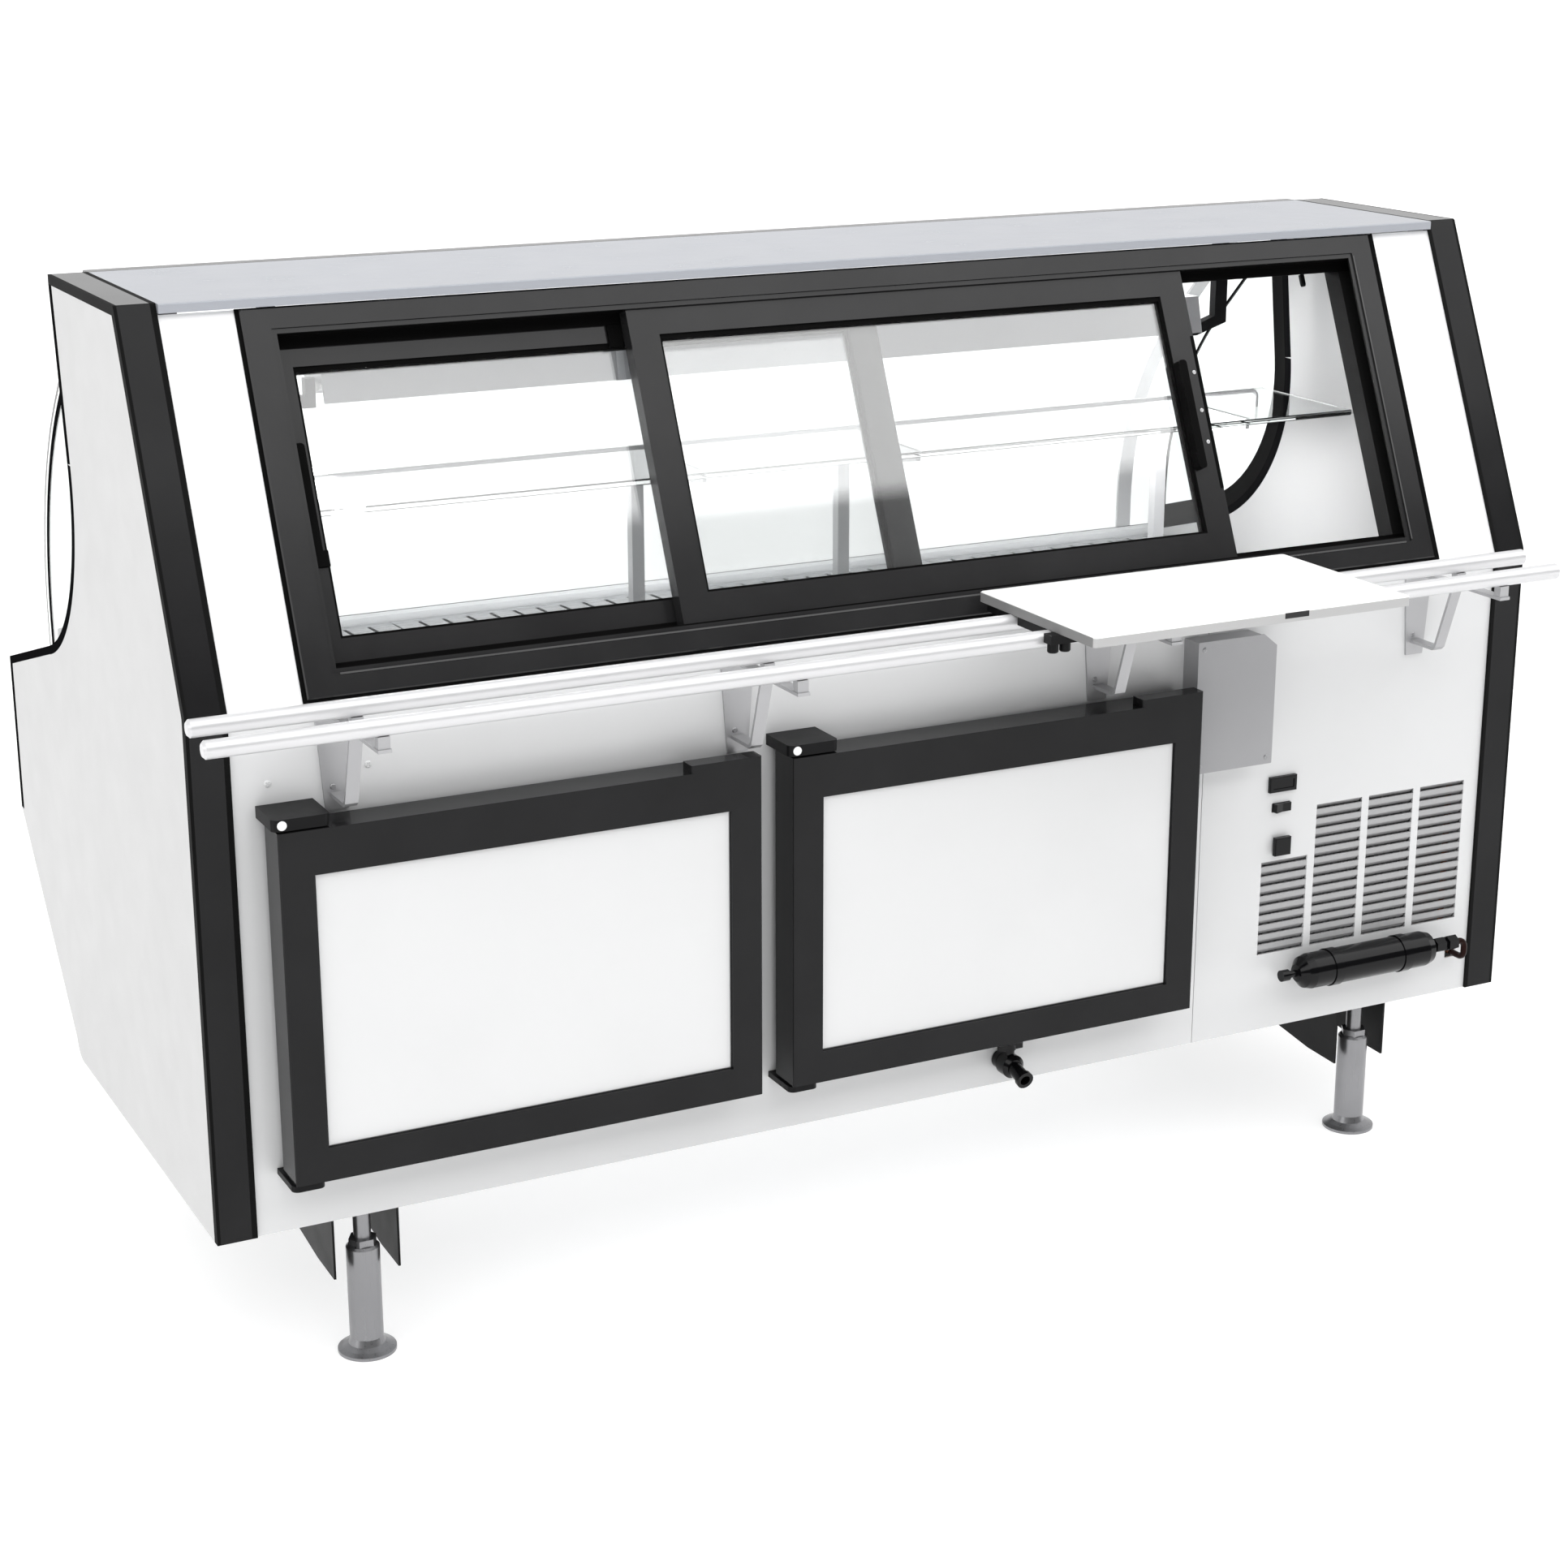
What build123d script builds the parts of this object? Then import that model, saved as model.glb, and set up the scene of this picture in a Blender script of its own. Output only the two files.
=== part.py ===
"""Refrigerated deli case: glass-fronted service counter over a two-door cold store.

Modelled in cabinet coordinates, in millimetres:
  X runs along the case from the outer face of the left end panel,
  Y runs from the service face (0) towards the customer,
  Z runs up from the underside of the cabinet, which the legs lift off the floor.
save() moves every piece so that the origin is on the floor under the middle of the whole case.
"""
from build123d import *
import os
from math import acos, atan2, cos, hypot, pi, sin, tan

# ---------------------------------------------------------------- driving dimensions
LENGTH = 1900.0            # over the two end panels
WAIST_Z = 644.0            # where the service face starts to lean
TOP_Z = 1078.0             # top of the case above the cabinet's underside
BASE_Z = 210.0             # cabinet's underside above the floor
LEAN_RUN = 194.0           # how far the service face has leant in at the top
TOP_FRONT_Y = 500.0        # customer edge of the flat top
FRONT_Y = 898.0            # customer face of the bumper
BUMPER_BOTTOM_Z = 289.0
BUMPER_LEDGE_T = 12.0
TOE_Y = 645.0              # customer edge of the underside
TOE_SLOPE_FOOT = (TOE_Y + 15.0, 25.0)      # where the sloping lower front starts above the toe
LEDGE_BACK_Y = 645.0       # where the end panel's curve runs out on the ledge
LEDGE_FRONT_Z = 507.0
LEDGE_SLOPE = 0.2885

TRIM_W = 49.0              # end panel thickness and the width of its dark cap
TRIM_T = 12.0
INNER_X = (TRIM_W, LENGTH - TRIM_W)
LINER_T = 26.0             # extra wall inside the display at either end
DISPLAY_X = (INNER_X[0] + LINER_T, INNER_X[1] - LINER_T)
LEFT_X = (0.0, TRIM_W)
RIGHT_X = (INNER_X[1], LENGTH)
LEFT_LINER_X = (INNER_X[0], DISPLAY_X[0])
RIGHT_LINER_X = (DISPLAY_X[1], INNER_X[1])
SCOOP = ((470.0, 850.0), (507.0, 684.0))   # start and middle of the curve in an end panel
CHANNEL_W = 26.0           # black glass channel along that curve
SHEET = 3.0                # thickness of the plain sheet-metal pieces

LEAN = atan2(LEAN_RUN, TOP_Z - WAIST_Z)
SERVICE_LEAN = Plane(
    origin=(0, 0, WAIST_Z),
    x_dir=(1, 0, 0),
    z_dir=(0, -cos(LEAN), sin(LEAN)),
)

# window in the leaning face: X, distance up the slope (S), outward depth (N)
FRAME_X = (143.0, 1745.0)
FRAME_S = (4.0, 461.0)
OPEN_X = (183.0, 1705.0)
OPEN_S = (36.0, 430.0)
FRAME_N = (-58.0, 2.0)
MID_LIP_N = (-27.5, -25.5)  # guide lip between the two tracks
REAR_LIP_N = (-54.0, -51.5)
OUTER_TRACK_N = (-24.0, -4.0)
INNER_TRACK_N = (-49.0, -29.0)
SLIDER_W = 808.0
SLIDER_S = (38.4, 431.0)
OUTER_SLIDER_X = 622.0     # left edge of the outer door where it stands, partly open
INNER_SLIDER_X = 165.0     # left edge of the inner door, shut behind its jamb lip
STILE_W = 39.0
HANDLE_W = 12.0
HANDLE_S = (159.0, 306.0)
OUTER_PULL_X = OUTER_SLIDER_X + SLIDER_W - STILE_W - 1
INNER_PULL_X = INNER_SLIDER_X + STILE_W - HANDLE_W - 4
REBATE = 21.0              # how far the tracks run on behind the frame's lips
OUTER_TRACK_X = (OPEN_X[0] - REBATE, OPEN_X[1] + REBATE)
INNER_TRACK_X = (OPEN_X[0] - REBATE, OPEN_X[1])
TRACK_TOP_S = 433.0        # roof of the tracks
TRACK_FOOT_S = (36.0, 38.0)
DOOR_GLASS_T = 5.0

# curved front glass: a straight run, an arc and a short upright foot
GLASS_CENTRE = (372.0, 569.0)
GLASS_R = 449.0
FRONT_GLASS_T = 6.0
GLASS_TOP = (516.0, 1058.0)
GLASS_SLOT_DEPTH = 9.0
GLASS_X = (40.0, LENGTH - 40.0)
GLASS_BACKING_GAP = 0.4    # between the glass and what stands behind it

# service wall, cold store and its doors
WALL_Y = (4.0, 40.0)
WALL_TOP_Z = 634.0
STORE_DOOR_X = ((81.0, 686.0), (729.0, 1328.0))
STORE_DOOR_Z = (84.0, 515.0)
DOOR_Y = (-62.0, -12.0)
DOOR_FRAME_W = 41.0
DOOR_TOP_W = 54.0
GRIP_W = 94.0              # raised grip at the free end of the door's top rail
GRIP_H = 10.0
STORE_OPENINGS_X = ((118.0, 652.0), (766.0, 1292.0))
STORE_OPENING_Z = (118.0, 436.0)
PIVOT_IN = 11.0            # hinge axis in from the door's left edge
PIVOT_Y = -45.0
PIN_R = 5.0
BORE_R = 5.06
GASKET_T = 11.0

# machine compartment and its controls
MACHINE_X = 1378.0
MACHINE_FLOOR_Z = 18.0
BOX_X = (1340.0, 1462.0)
BOX_Y = (-30.0, WALL_Y[0])
BOX_Z = (403.0, 580.0)
CONTROLLER = (1509.0, 357.0)
ROCKER = (1510.0, 323.0)
BUTTON = (1510.0, 268.5)
BUTTON_R = 10.25
COMPRESSOR = (1560.0, 430.0)
CONDENSER_X = (1470.0, 1800.0)
CONDENSER_Y = (40.0, 84.0)
CONDENSER_Z = (MACHINE_FLOOR_Z, 340.0)
CONDENSER_FAN = (1635.0, 116.0, 182.0)
FAN_SHAFT_R = 4.0
FAN_BORE_R = 4.06
LINE_X = 1822.0            # where the copper line turns in through the cover
LINE_Z = 60.0
DRIER = (-26.0, 87.0)      # Y and Z of the drier's axis
DRIER_X = (1526.0, 1765.0)
DRAIN = (1070.0, -22.0, 36.0)              # middle of the drain valve's body
LOUVRE_X0 = 1482.0
LOUVRE_PITCH_X = 89.0
LOUVRE_W = 77.0
LOUVRE_PITCH_Z = 14.2
LOUVRE_TOP_Z = 317.0
SLOT_H = 7.0
SHORT_COLUMN_ROWS = 10
FULL_COLUMN_ROWS = 15

# board rails
RAIL_R = 10.5
RAIL_Z = 656.5
RAILS = ((-20.0, 1828.0, -81.0), (-28.0, 1811.0, -168.0))
BRACKET_X = (172.0, 684.0, 1204.0, 1720.0)
BOARD_X = (1020.0, 1487.0)
BOARD_Y = (-271.0, -3.0)
BOARD_Z = (667.4, 680.0)
SADDLE_X = (1037.0, 1345.0)

# legs
LEG_X = (197.0, 1703.0)
LEG_Y = (62.0, 560.0)
TUBE_R = 21.0
TUBE_Z = (-190.0, -66.0)
NECK_R = 17.0
NECK_BORE_R = 17.08
FLANGE_R = 36.5
FOOT_NECK_L = 50.0

# display well and its fittings
WELL_Z = (440.0, 476.0)
PAN_Y = (62.0, 785.0)
WELL_FRONT_Y = PAN_Y[1] + 5.0
GLASS_RAIL_Z = 1042.0
GLASS_RAIL_Y = (TOP_FRONT_Y - 2.0, 528.0)
PAN_FRONT_Z = 522.0
PAN_SLOPE = 0.045
LAMP_X = (300.0, 1605.0)
LAMP_AXIS = (415.0, 938.0)                 # Y and Z of the tube
SHELF_Y = (300.0, 520.0)
SHELF_Z = (790.0, 798.0)
FENCE_X = (186.0, 1714.0)
FENCE_Y = 385.0
POST_X = (250.0, 790.0, 1110.0, 1650.0)
POST_Y = (530.0, 546.0)
GLASS_SUPPORT_X = ((113.0, 138.0), (1762.0, 1787.0))
COIL_X = (180.0, 980.0)
COIL_Y = (556.0, 700.0)
EVAPORATOR_FAN = (1260.0, 570.0, 506.0)

OVERALL_X = (RAILS[1][0], LENGTH)
OVERALL_Y = (BOARD_Y[0], FRONT_Y)
PLACE = Pos(-sum(OVERALL_X) / 2, -sum(OVERALL_Y) / 2, BASE_Z)


# ---------------------------------------------------------------- helpers
STAND = (Align.CENTER, Align.CENTER, Align.MIN)      # a cylinder that stands on its base


def across(middle, width):
    """The (low, high) pair of a width about its middle."""
    return (middle - width / 2, middle + width / 2)


def block(x, y, z):
    """A box from three (low, high) pairs."""
    size = [high - low for low, high in (x, y, z)]
    middle = [(high + low) / 2 for low, high in (x, y, z)]
    return Pos(*middle) * Box(*size)


def lean_block(x, s, n):
    """A box laid on the leaning face: along X, up the slope, outward."""
    return SERVICE_LEAN.location * block(x, s, n)


def along_x(face, x):
    """Sweep a (Y, Z) section along X between two stations."""
    return extrude(Plane.YZ.offset(x[0]) * face, amount=x[1] - x[0], dir=(1, 0, 0))


def section(*points):
    """A flat face inside straight edges."""
    return make_face(Polyline(*points, close=True))


def rod(start, end, radius):
    """A round bar between two points."""
    run = Vector(*end) - Vector(*start)
    return Plane(origin=start, z_dir=run) * Cylinder(radius, run.length, align=STAND)


def save(name, *solids):
    """Write one node: its solids, moved to the case's own origin."""
    pieces = [PLACE * solid for item in solids for solid in item.solids()]
    node = pieces[0] if len(pieces) == 1 else Compound(children=pieces)
    export_step(node, f"parts/{name}.step")


def ledge_z(y):
    """Height of the sloping customer ledge at a given depth."""
    return LEDGE_FRONT_Z + (FRONT_Y - y) * LEDGE_SLOPE


LEDGE_BACK = (LEDGE_BACK_Y, ledge_z(LEDGE_BACK_Y))
GLASS_FOOT_Y = GLASS_CENTRE[0] + GLASS_R
GLASS_FOOT_Z = ledge_z(GLASS_FOOT_Y) - GLASS_SLOT_DEPTH
BUMPER_BACK_Y = GLASS_FOOT_Y - 9


def service_line(inset):
    """Corner points of the service outline, moved inwards by inset."""
    return [
        (inset, 0),
        (inset, WAIST_Z - inset * tan(LEAN / 2)),
        (LEAN_RUN + inset * tan(pi / 4 - LEAN / 2), TOP_Z - inset),
        (TOP_FRONT_Y, TOP_Z - inset),
    ]


# ---------------------------------------------------------------- end panels and outer skin
def end_profile():
    """Outline of an end panel, with the scooped customer edge and rounded toe."""
    start, waist, shoulder, top = service_line(TRIM_T)
    edges = [
        Line(start, waist),
        Line(waist, shoulder),
        Line(shoulder, top),
        Line(top, SCOOP[0]),
        ThreePointArc(*SCOOP, LEDGE_BACK),
        Line(LEDGE_BACK, (FRONT_Y, LEDGE_FRONT_Z)),
        Line((FRONT_Y, LEDGE_FRONT_Z), (FRONT_Y, BUMPER_BOTTOM_Z)),
        Line((FRONT_Y, BUMPER_BOTTOM_Z), TOE_SLOPE_FOOT),
        ThreePointArc(TOE_SLOPE_FOOT, (TOE_Y + 5, 7), (TOE_Y - 15, 0)),
        Line((TOE_Y - 15, 0), start),
    ]
    return make_face(edges)


def end_panel(x, liner_x):
    """Foamed end wall, thicker inside the display, slotted for the foot of the glass."""
    panel = along_x(end_profile(), x) - glass_foot_slot()
    liner = along_x(end_profile(), liner_x)
    liner &= block(liner_x, (44, WELL_FRONT_Y), (WELL_Z[1], TOP_Z - TRIM_T))
    liner -= block(liner_x, (TOP_FRONT_Y - 4, LEDGE_BACK_Y), (GLASS_RAIL_Z - 2, TOP_Z))
    return panel + liner


def glass_channel(x):
    """Black channel on the display's end wall: down the scoop and along the ledge to the glass."""
    top = (TOP_FRONT_Y, TOP_Z - TRIM_T)
    foot = (BUMPER_BACK_Y, ledge_z(BUMPER_BACK_Y))
    edge = Wire([Line(top, SCOOP[0]), ThreePointArc(*SCOOP, LEDGE_BACK), Line(LEDGE_BACK, foot)])
    band = make_face(offset(edge, CHANNEL_W, side=Side.LEFT))
    return along_x(band, x) & block(x, (SCOOP[0][0] - 70, WELL_FRONT_Y), (500, 1020))


def end_trim(x):
    """Dark cap folded over the service edge and top of an end panel."""
    outer = service_line(0)
    inner = service_line(TRIM_T)
    cap = along_x(section(*outer, *reversed(inner)), x)
    bends = [e for e in cap.edges().filter_by(Axis.X) if is_corner(e.center(), outer[1:3])]
    return chamfer(bends, 1.5)


def is_corner(point, corners):
    return any(hypot(point.Y - y, point.Z - z) < 0.1 for y, z in corners)


def top_panel():
    """Folded tray with a turned-down rim and stiffening ribs underneath."""
    edge_y = (184.0, TOP_FRONT_Y - 2)
    tray = block(INNER_X, edge_y, (TOP_Z - 11, TOP_Z))
    hollow = block(
        (INNER_X[0] + SHEET, INNER_X[1] - SHEET),
        (edge_y[0] + 12, edge_y[1] - SHEET),
        (TOP_Z - 12, TOP_Z - SHEET),
    )
    rib_y = (edge_y[0] + 12, edge_y[1] - SHEET)
    ribs = [
        block(across(LENGTH / 2 + step * 325, 24), rib_y, (TOP_Z - 11, TOP_Z - SHEET))
        for step in range(-2, 3)
    ]
    tray = tray - hollow + ribs
    rims = tray.edges().filter_by(Axis.X).group_by(Axis.Z)[-1]
    return fillet(rims, 2.0)


def upper_rear_panel():
    """White leaning skin round the window frame, which laps over its edge."""
    lap = 7
    skin = lean_block(INNER_X, (0, FRAME_S[1] + 1), (-2 * SHEET, -SHEET))
    window = lean_block(
        (FRAME_X[0] + lap, FRAME_X[1] - lap), (FRAME_S[0] + lap, FRAME_S[1] - lap), (-8, 0)
    )
    return skin - window


def rear_panel():
    """Insulated service wall with the two store openings."""
    wall = block((INNER_X[0], MACHINE_X), WALL_Y, (0, WALL_TOP_Z))
    for span in STORE_OPENINGS_X:
        wall -= block(span, (0, 50), STORE_OPENING_Z)
    jambs = wall.edges().filter_by(Axis.Y)
    inside = [e for e in jambs if STORE_OPENING_Z[0] - 1 < e.center().Z < STORE_OPENING_Z[1] + 1]
    wall = fillet(inside, 8.0)
    drain = rod((DRAIN[0], WALL_Y[1] + 10, DRAIN[2]), (DRAIN[0], -10, DRAIN[2]), 8.5)
    return wall - drain


def machine_cover():
    """Lift-off cover with the louvre field and the cut-outs for the controls."""
    left, right = MACHINE_X + 1, INNER_X[1]
    face_y = (WALL_Y[0], WALL_Y[0] + SHEET)
    cut_y = (face_y[0] - 4, face_y[1] + 3)
    cover = block((left, right), face_y, (0, WALL_TOP_Z))
    folds = [
        block(x, (face_y[1], 22), (0, WALL_TOP_Z))
        for x in ((left, left + SHEET), (right - SHEET, right))
    ]
    cover += folds
    slots = []
    blades = []
    for column in range(4):
        slot_x = LOUVRE_X0 + column * LOUVRE_PITCH_X
        rows = SHORT_COLUMN_ROWS if column == 0 else FULL_COLUMN_ROWS
        for row in range(rows):
            low = LOUVRE_TOP_Z - SLOT_H - (FULL_COLUMN_ROWS - 1 - row) * LOUVRE_PITCH_Z
            slots.append(block((slot_x, slot_x + LOUVRE_W), cut_y, (low, low + SLOT_H)))
            blades.append(louvre_blade((slot_x, slot_x + LOUVRE_W), low))
    cover -= slots
    cover += blades
    cover -= [
        block(across(CONTROLLER[0], 40), cut_y, across(CONTROLLER[1], 18)),
        block(across(ROCKER[0], 30.6), cut_y, across(ROCKER[1], 13)),
        rod((BUTTON[0], cut_y[0], BUTTON[1]), (BUTTON[0], cut_y[1], BUTTON[1]), BUTTON_R + 0.05),
        block(across(LINE_X, 18), cut_y, across(LINE_Z, 18)),
    ]
    return cover


def louvre_blade(x, slot_z):
    """One pressed blade: it starts at the slot's top edge and slopes down inside."""
    top = slot_z + SLOT_H
    inner_y = WALL_Y[0] + SHEET
    blade = section(
        (inner_y - 2, top), (inner_y, top), (inner_y + 6, top - 6.5), (inner_y + 4.6, top - 7.2)
    )
    return along_x(blade, x)


def front_lower_panel():
    """Sheet that slopes back from the bumper to the toe."""
    foot_y, foot_z = TOE_SLOPE_FOOT
    top_y = FRONT_Y - 2
    top_z = BUMPER_BOTTOM_Z - 2 * (BUMPER_BOTTOM_Z - foot_z) / (FRONT_Y - foot_y)
    sheet = section(
        (foot_y, foot_z), (top_y, top_z), (top_y - SHEET, top_z + 1.5), (foot_y - 3, foot_z + 2.5)
    )
    return along_x(sheet, INNER_X)


def front_bumper():
    """Dark customer bumper: face and sloping ledge, slotted for the foot of the glass."""
    face_back_y = FRONT_Y - 10
    profile = section(
        (BUMPER_BACK_Y, ledge_z(BUMPER_BACK_Y)),
        (FRONT_Y, LEDGE_FRONT_Z),
        (FRONT_Y, BUMPER_BOTTOM_Z),
        (face_back_y, BUMPER_BOTTOM_Z),
        (face_back_y, ledge_z(face_back_y) - BUMPER_LEDGE_T),
        (BUMPER_BACK_Y, ledge_z(BUMPER_BACK_Y) - BUMPER_LEDGE_T),
    )
    body = along_x(profile, INNER_X)
    nose = body.edges().filter_by(Axis.X).group_by(Axis.Y)[-1].sort_by(Axis.Z)[-1]
    body = fillet(nose, 4.0)
    return body - glass_foot_slot()


def glass_foot_slot():
    """Slot as wide as the customer glass, cut down from the ledge."""
    half = FRONT_GLASS_T / 2
    ledge_top = ledge_z(GLASS_FOOT_Y) + FRONT_GLASS_T
    return block(GLASS_X, (GLASS_FOOT_Y - half, GLASS_FOOT_Y + half), (GLASS_FOOT_Z, ledge_top))


# ---------------------------------------------------------------- glass round the display
def glass_path(radius, foot_z=GLASS_FOOT_Z):
    """One side of the curved glass, radius measured from the centre of its arc."""
    centre = Vector(*GLASS_CENTRE)
    reach = Vector(*GLASS_TOP) - centre
    tangent = atan2(reach.Y, reach.X) - acos(GLASS_R / reach.length)
    normal = Vector(cos(tangent), sin(tangent))
    middle = Vector(cos(tangent / 2), sin(tangent / 2))
    top = Vector(*GLASS_TOP) + normal * (radius - GLASS_R)
    joint = centre + normal * radius
    low = centre + Vector(radius, 0)
    foot = Vector(low.X, foot_z)
    edges = [
        Line(top, joint),
        ThreePointArc(joint, centre + middle * radius, low),
        Line(low, foot),
    ]
    return top, foot, edges


def bent_strip(radii, x, foot_z=GLASS_FOOT_Z):
    """A band that follows the curve of the customer glass between two radii."""
    inner_top, inner_foot, inner = glass_path(radii[0], foot_z)
    outer_top, outer_foot, outer = glass_path(radii[1], foot_z)
    ends = [Line(inner_top, outer_top), Line(inner_foot, outer_foot)]
    return along_x(make_face([*inner, *outer, *ends]), x)


def front_glass():
    """Curved pane on the customer side."""
    half = FRONT_GLASS_T / 2
    return bent_strip((GLASS_R - half, GLASS_R + half), GLASS_X)


def glass_support(x):
    """Bent metal upright that stands on the ledge and backs the customer glass."""
    back = GLASS_R - FRONT_GLASS_T / 2 - GLASS_BACKING_GAP
    strip = bent_strip((back - 4, back), x)
    cut_x = (x[0] - 1, x[1] + 1)
    behind_y = PAN_Y[1] - 85
    below_ledge = section(
        (behind_y, ledge_z(behind_y)), (FRONT_Y, LEDGE_FRONT_Z), (FRONT_Y, 400), (behind_y, 400)
    )
    strip -= along_x(below_ledge, cut_x)
    return strip - block(cut_x, (SCOOP[0][0] - 70, GLASS_RAIL_Y[1] + 12), (GLASS_RAIL_Z, TOP_Z + 22))


def end_glass(x):
    """Flat pane that fills the end between the scooped panel and the curved glass."""
    top, foot, curve = glass_path(GLASS_R - FRONT_GLASS_T / 2 - GLASS_BACKING_GAP)
    corners = [foot, (300, foot.Y), (300, top.Y), top]
    back = [Line(start, end) for start, end in zip(corners, corners[1:])]
    pane = along_x(make_face([*curve, *back]), x)
    return pane - along_x(end_profile(), (x[0] - 1, x[1] + 1))


def top_glass_rail(glass):
    """Extrusion that clamps the top edge of the curved glass."""
    body = block(INNER_X, GLASS_RAIL_Y, (GLASS_RAIL_Z, TOP_Z))
    edge = body.edges().filter_by(Axis.X).group_by(Axis.Y)[-1].sort_by(Axis.Z)[-1]
    return fillet(edge, 8.0) - glass


# ---------------------------------------------------------------- window frame and tracks
def window_frame():
    """Dark frame: a flange over the skin and a deep box section behind it."""
    flange = lean_block(FRAME_X, FRAME_S, (-SHEET, FRAME_N[1]))
    outer_n = FRAME_N[1] - 0.1
    outer_rim = [e for e in flange.edges() if SERVICE_LEAN.to_local_coords(e.center()).Z > outer_n]
    flange = chamfer(outer_rim, 1.5)
    deep = lean_block(
        (FRAME_X[0] + 8, FRAME_X[1] - 8), (FRAME_S[0] + 8, FRAME_S[1] - 8), (FRAME_N[0], -SHEET)
    )
    track_s = (OPEN_S[0], TRACK_TOP_S + SHEET)
    deep -= lean_block(OUTER_TRACK_X, track_s, (MID_LIP_N[0], -SHEET))
    deep -= lean_block(INNER_TRACK_X, track_s, (FRAME_N[0] - 5, -SHEET))
    window = lean_block(OPEN_X, OPEN_S, (FRAME_N[0] - 5, FRAME_N[1] + 5))
    reveal = lean_block(
        (OPEN_X[0] - 6, OPEN_X[1] + 6), (OPEN_S[0] - 6, OPEN_S[1] + 6), (0, FRAME_N[1] + 5)
    )
    return flange + deep - window - reveal


def track(s_web, s_middle, s_rear):
    """One black track: a web with a middle and a rear guide lip."""
    web = lean_block(OUTER_TRACK_X, s_web, (MID_LIP_N[0], -SHEET))
    web += lean_block(INNER_TRACK_X, s_web, (FRAME_N[0] + 2, -SHEET))
    middle = lean_block(OUTER_TRACK_X, s_middle, MID_LIP_N)
    rear = lean_block(INNER_TRACK_X, s_rear, REAR_LIP_N)
    return web + middle + rear


def slider_frame(left, depth):
    """Frame of a sliding door, grooved for its glass."""
    right = left + SLIDER_W
    low, high = SLIDER_S
    body = lean_block((left, right), SLIDER_S, depth)
    light = lean_block(
        (left + STILE_W, right - STILE_W), (low + 36, high - 34), (depth[0] - 5, depth[1] + 5)
    )
    return body - light - slider_glass(left, depth)


def slider_glass(left, depth):
    """Pane of a sliding door, let into the groove of its frame."""
    middle = (depth[0] + depth[1]) / 2
    return lean_block(
        (left + STILE_W - 10, left + SLIDER_W - STILE_W + 10),
        (SLIDER_S[0] + 26, SLIDER_S[1] - 24),
        across(middle, DOOR_GLASS_T),
    )


def finger_pull(x, face_n, thickness):
    """Upright pull screwed flat on a stile, rounded at the ends."""
    bar = lean_block((x, x + HANDLE_W), HANDLE_S, (face_n, face_n + thickness))
    corners = bar.edges().filter_by(lambda edge: abs(edge.length - thickness) < 0.01)
    return fillet(corners, 4.5)


# ---------------------------------------------------------------- store doors
def store_door(x):
    """Frame, inset panel and gasket of one insulated door, in that order."""
    left, right = x
    low, high = STORE_DOOR_Z
    back, front = DOOR_Y[1], DOOR_Y[0]
    body = block(x, (front, back), (low, high))
    body += block((right - GRIP_W, right), (front, front + 24), (high, high + GRIP_H))
    upright = body.edges().filter_by(Axis.Z).group_by(Axis.Y)[0]
    body = fillet(upright, 3.0)
    panel_x = (left + DOOR_FRAME_W, right - DOOR_FRAME_W)
    panel_z = (low + DOOR_FRAME_W, high - DOOR_TOP_W)
    body -= block(panel_x, (front - 1, back + 1), panel_z)
    pivot = (left + PIVOT_IN, PIVOT_Y)
    for z in (low, high):
        body -= Pos(*pivot, z) * Cylinder(BORE_R, 30)
    panel = block(panel_x, (front + 5, back), panel_z)
    rim = panel.edges().group_by(Axis.Y)[0]
    panel = chamfer(rim, 2.0)
    return body, panel, door_gasket(x)


def door_gasket(x):
    """Rubber ring on the back of a store door."""
    width = 14
    ring_x = (x[0] + 16, x[1] - 16)
    ring_z = (STORE_DOOR_Z[0] + 14, STORE_DOOR_Z[1] - 14)
    back = DOOR_Y[1]
    ring = block(ring_x, (back, back + GASKET_T), ring_z)
    ring -= block(
        (ring_x[0] + width, ring_x[1] - width),
        (back - 1, back + GASKET_T + 4),
        (ring_z[0] + width, ring_z[1] - width),
    )
    sealing_lip = ring.edges().group_by(Axis.Y)[-1]
    return chamfer(sealing_lip, 2.5)


def hinge_pair(x):
    """Upper and lower hinge blocks with their pins, fixed to the wall."""
    left = x[0] + PIVOT_IN
    low, high = STORE_DOOR_Z
    upper = block((left - 16, left + 52), (-60, WALL_Y[0]), (high + 2, high + 16))
    upper = fillet(upper.edges().filter_by(Axis.Z).group_by(Axis.Y)[0], 8.0)
    lower = block((left - 14, left + 26), (-58, WALL_Y[0]), (low - 9, low - 1.5))
    lower = fillet(lower.edges().filter_by(Axis.Z).group_by(Axis.Y)[0], 8.0)
    upper += Pos(left, PIVOT_Y, high - 12) * Cylinder(PIN_R, 20, align=STAND)
    lower += Pos(left, PIVOT_Y, low - 5) * Cylinder(PIN_R, 18, align=STAND)
    return upper, lower


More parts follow.
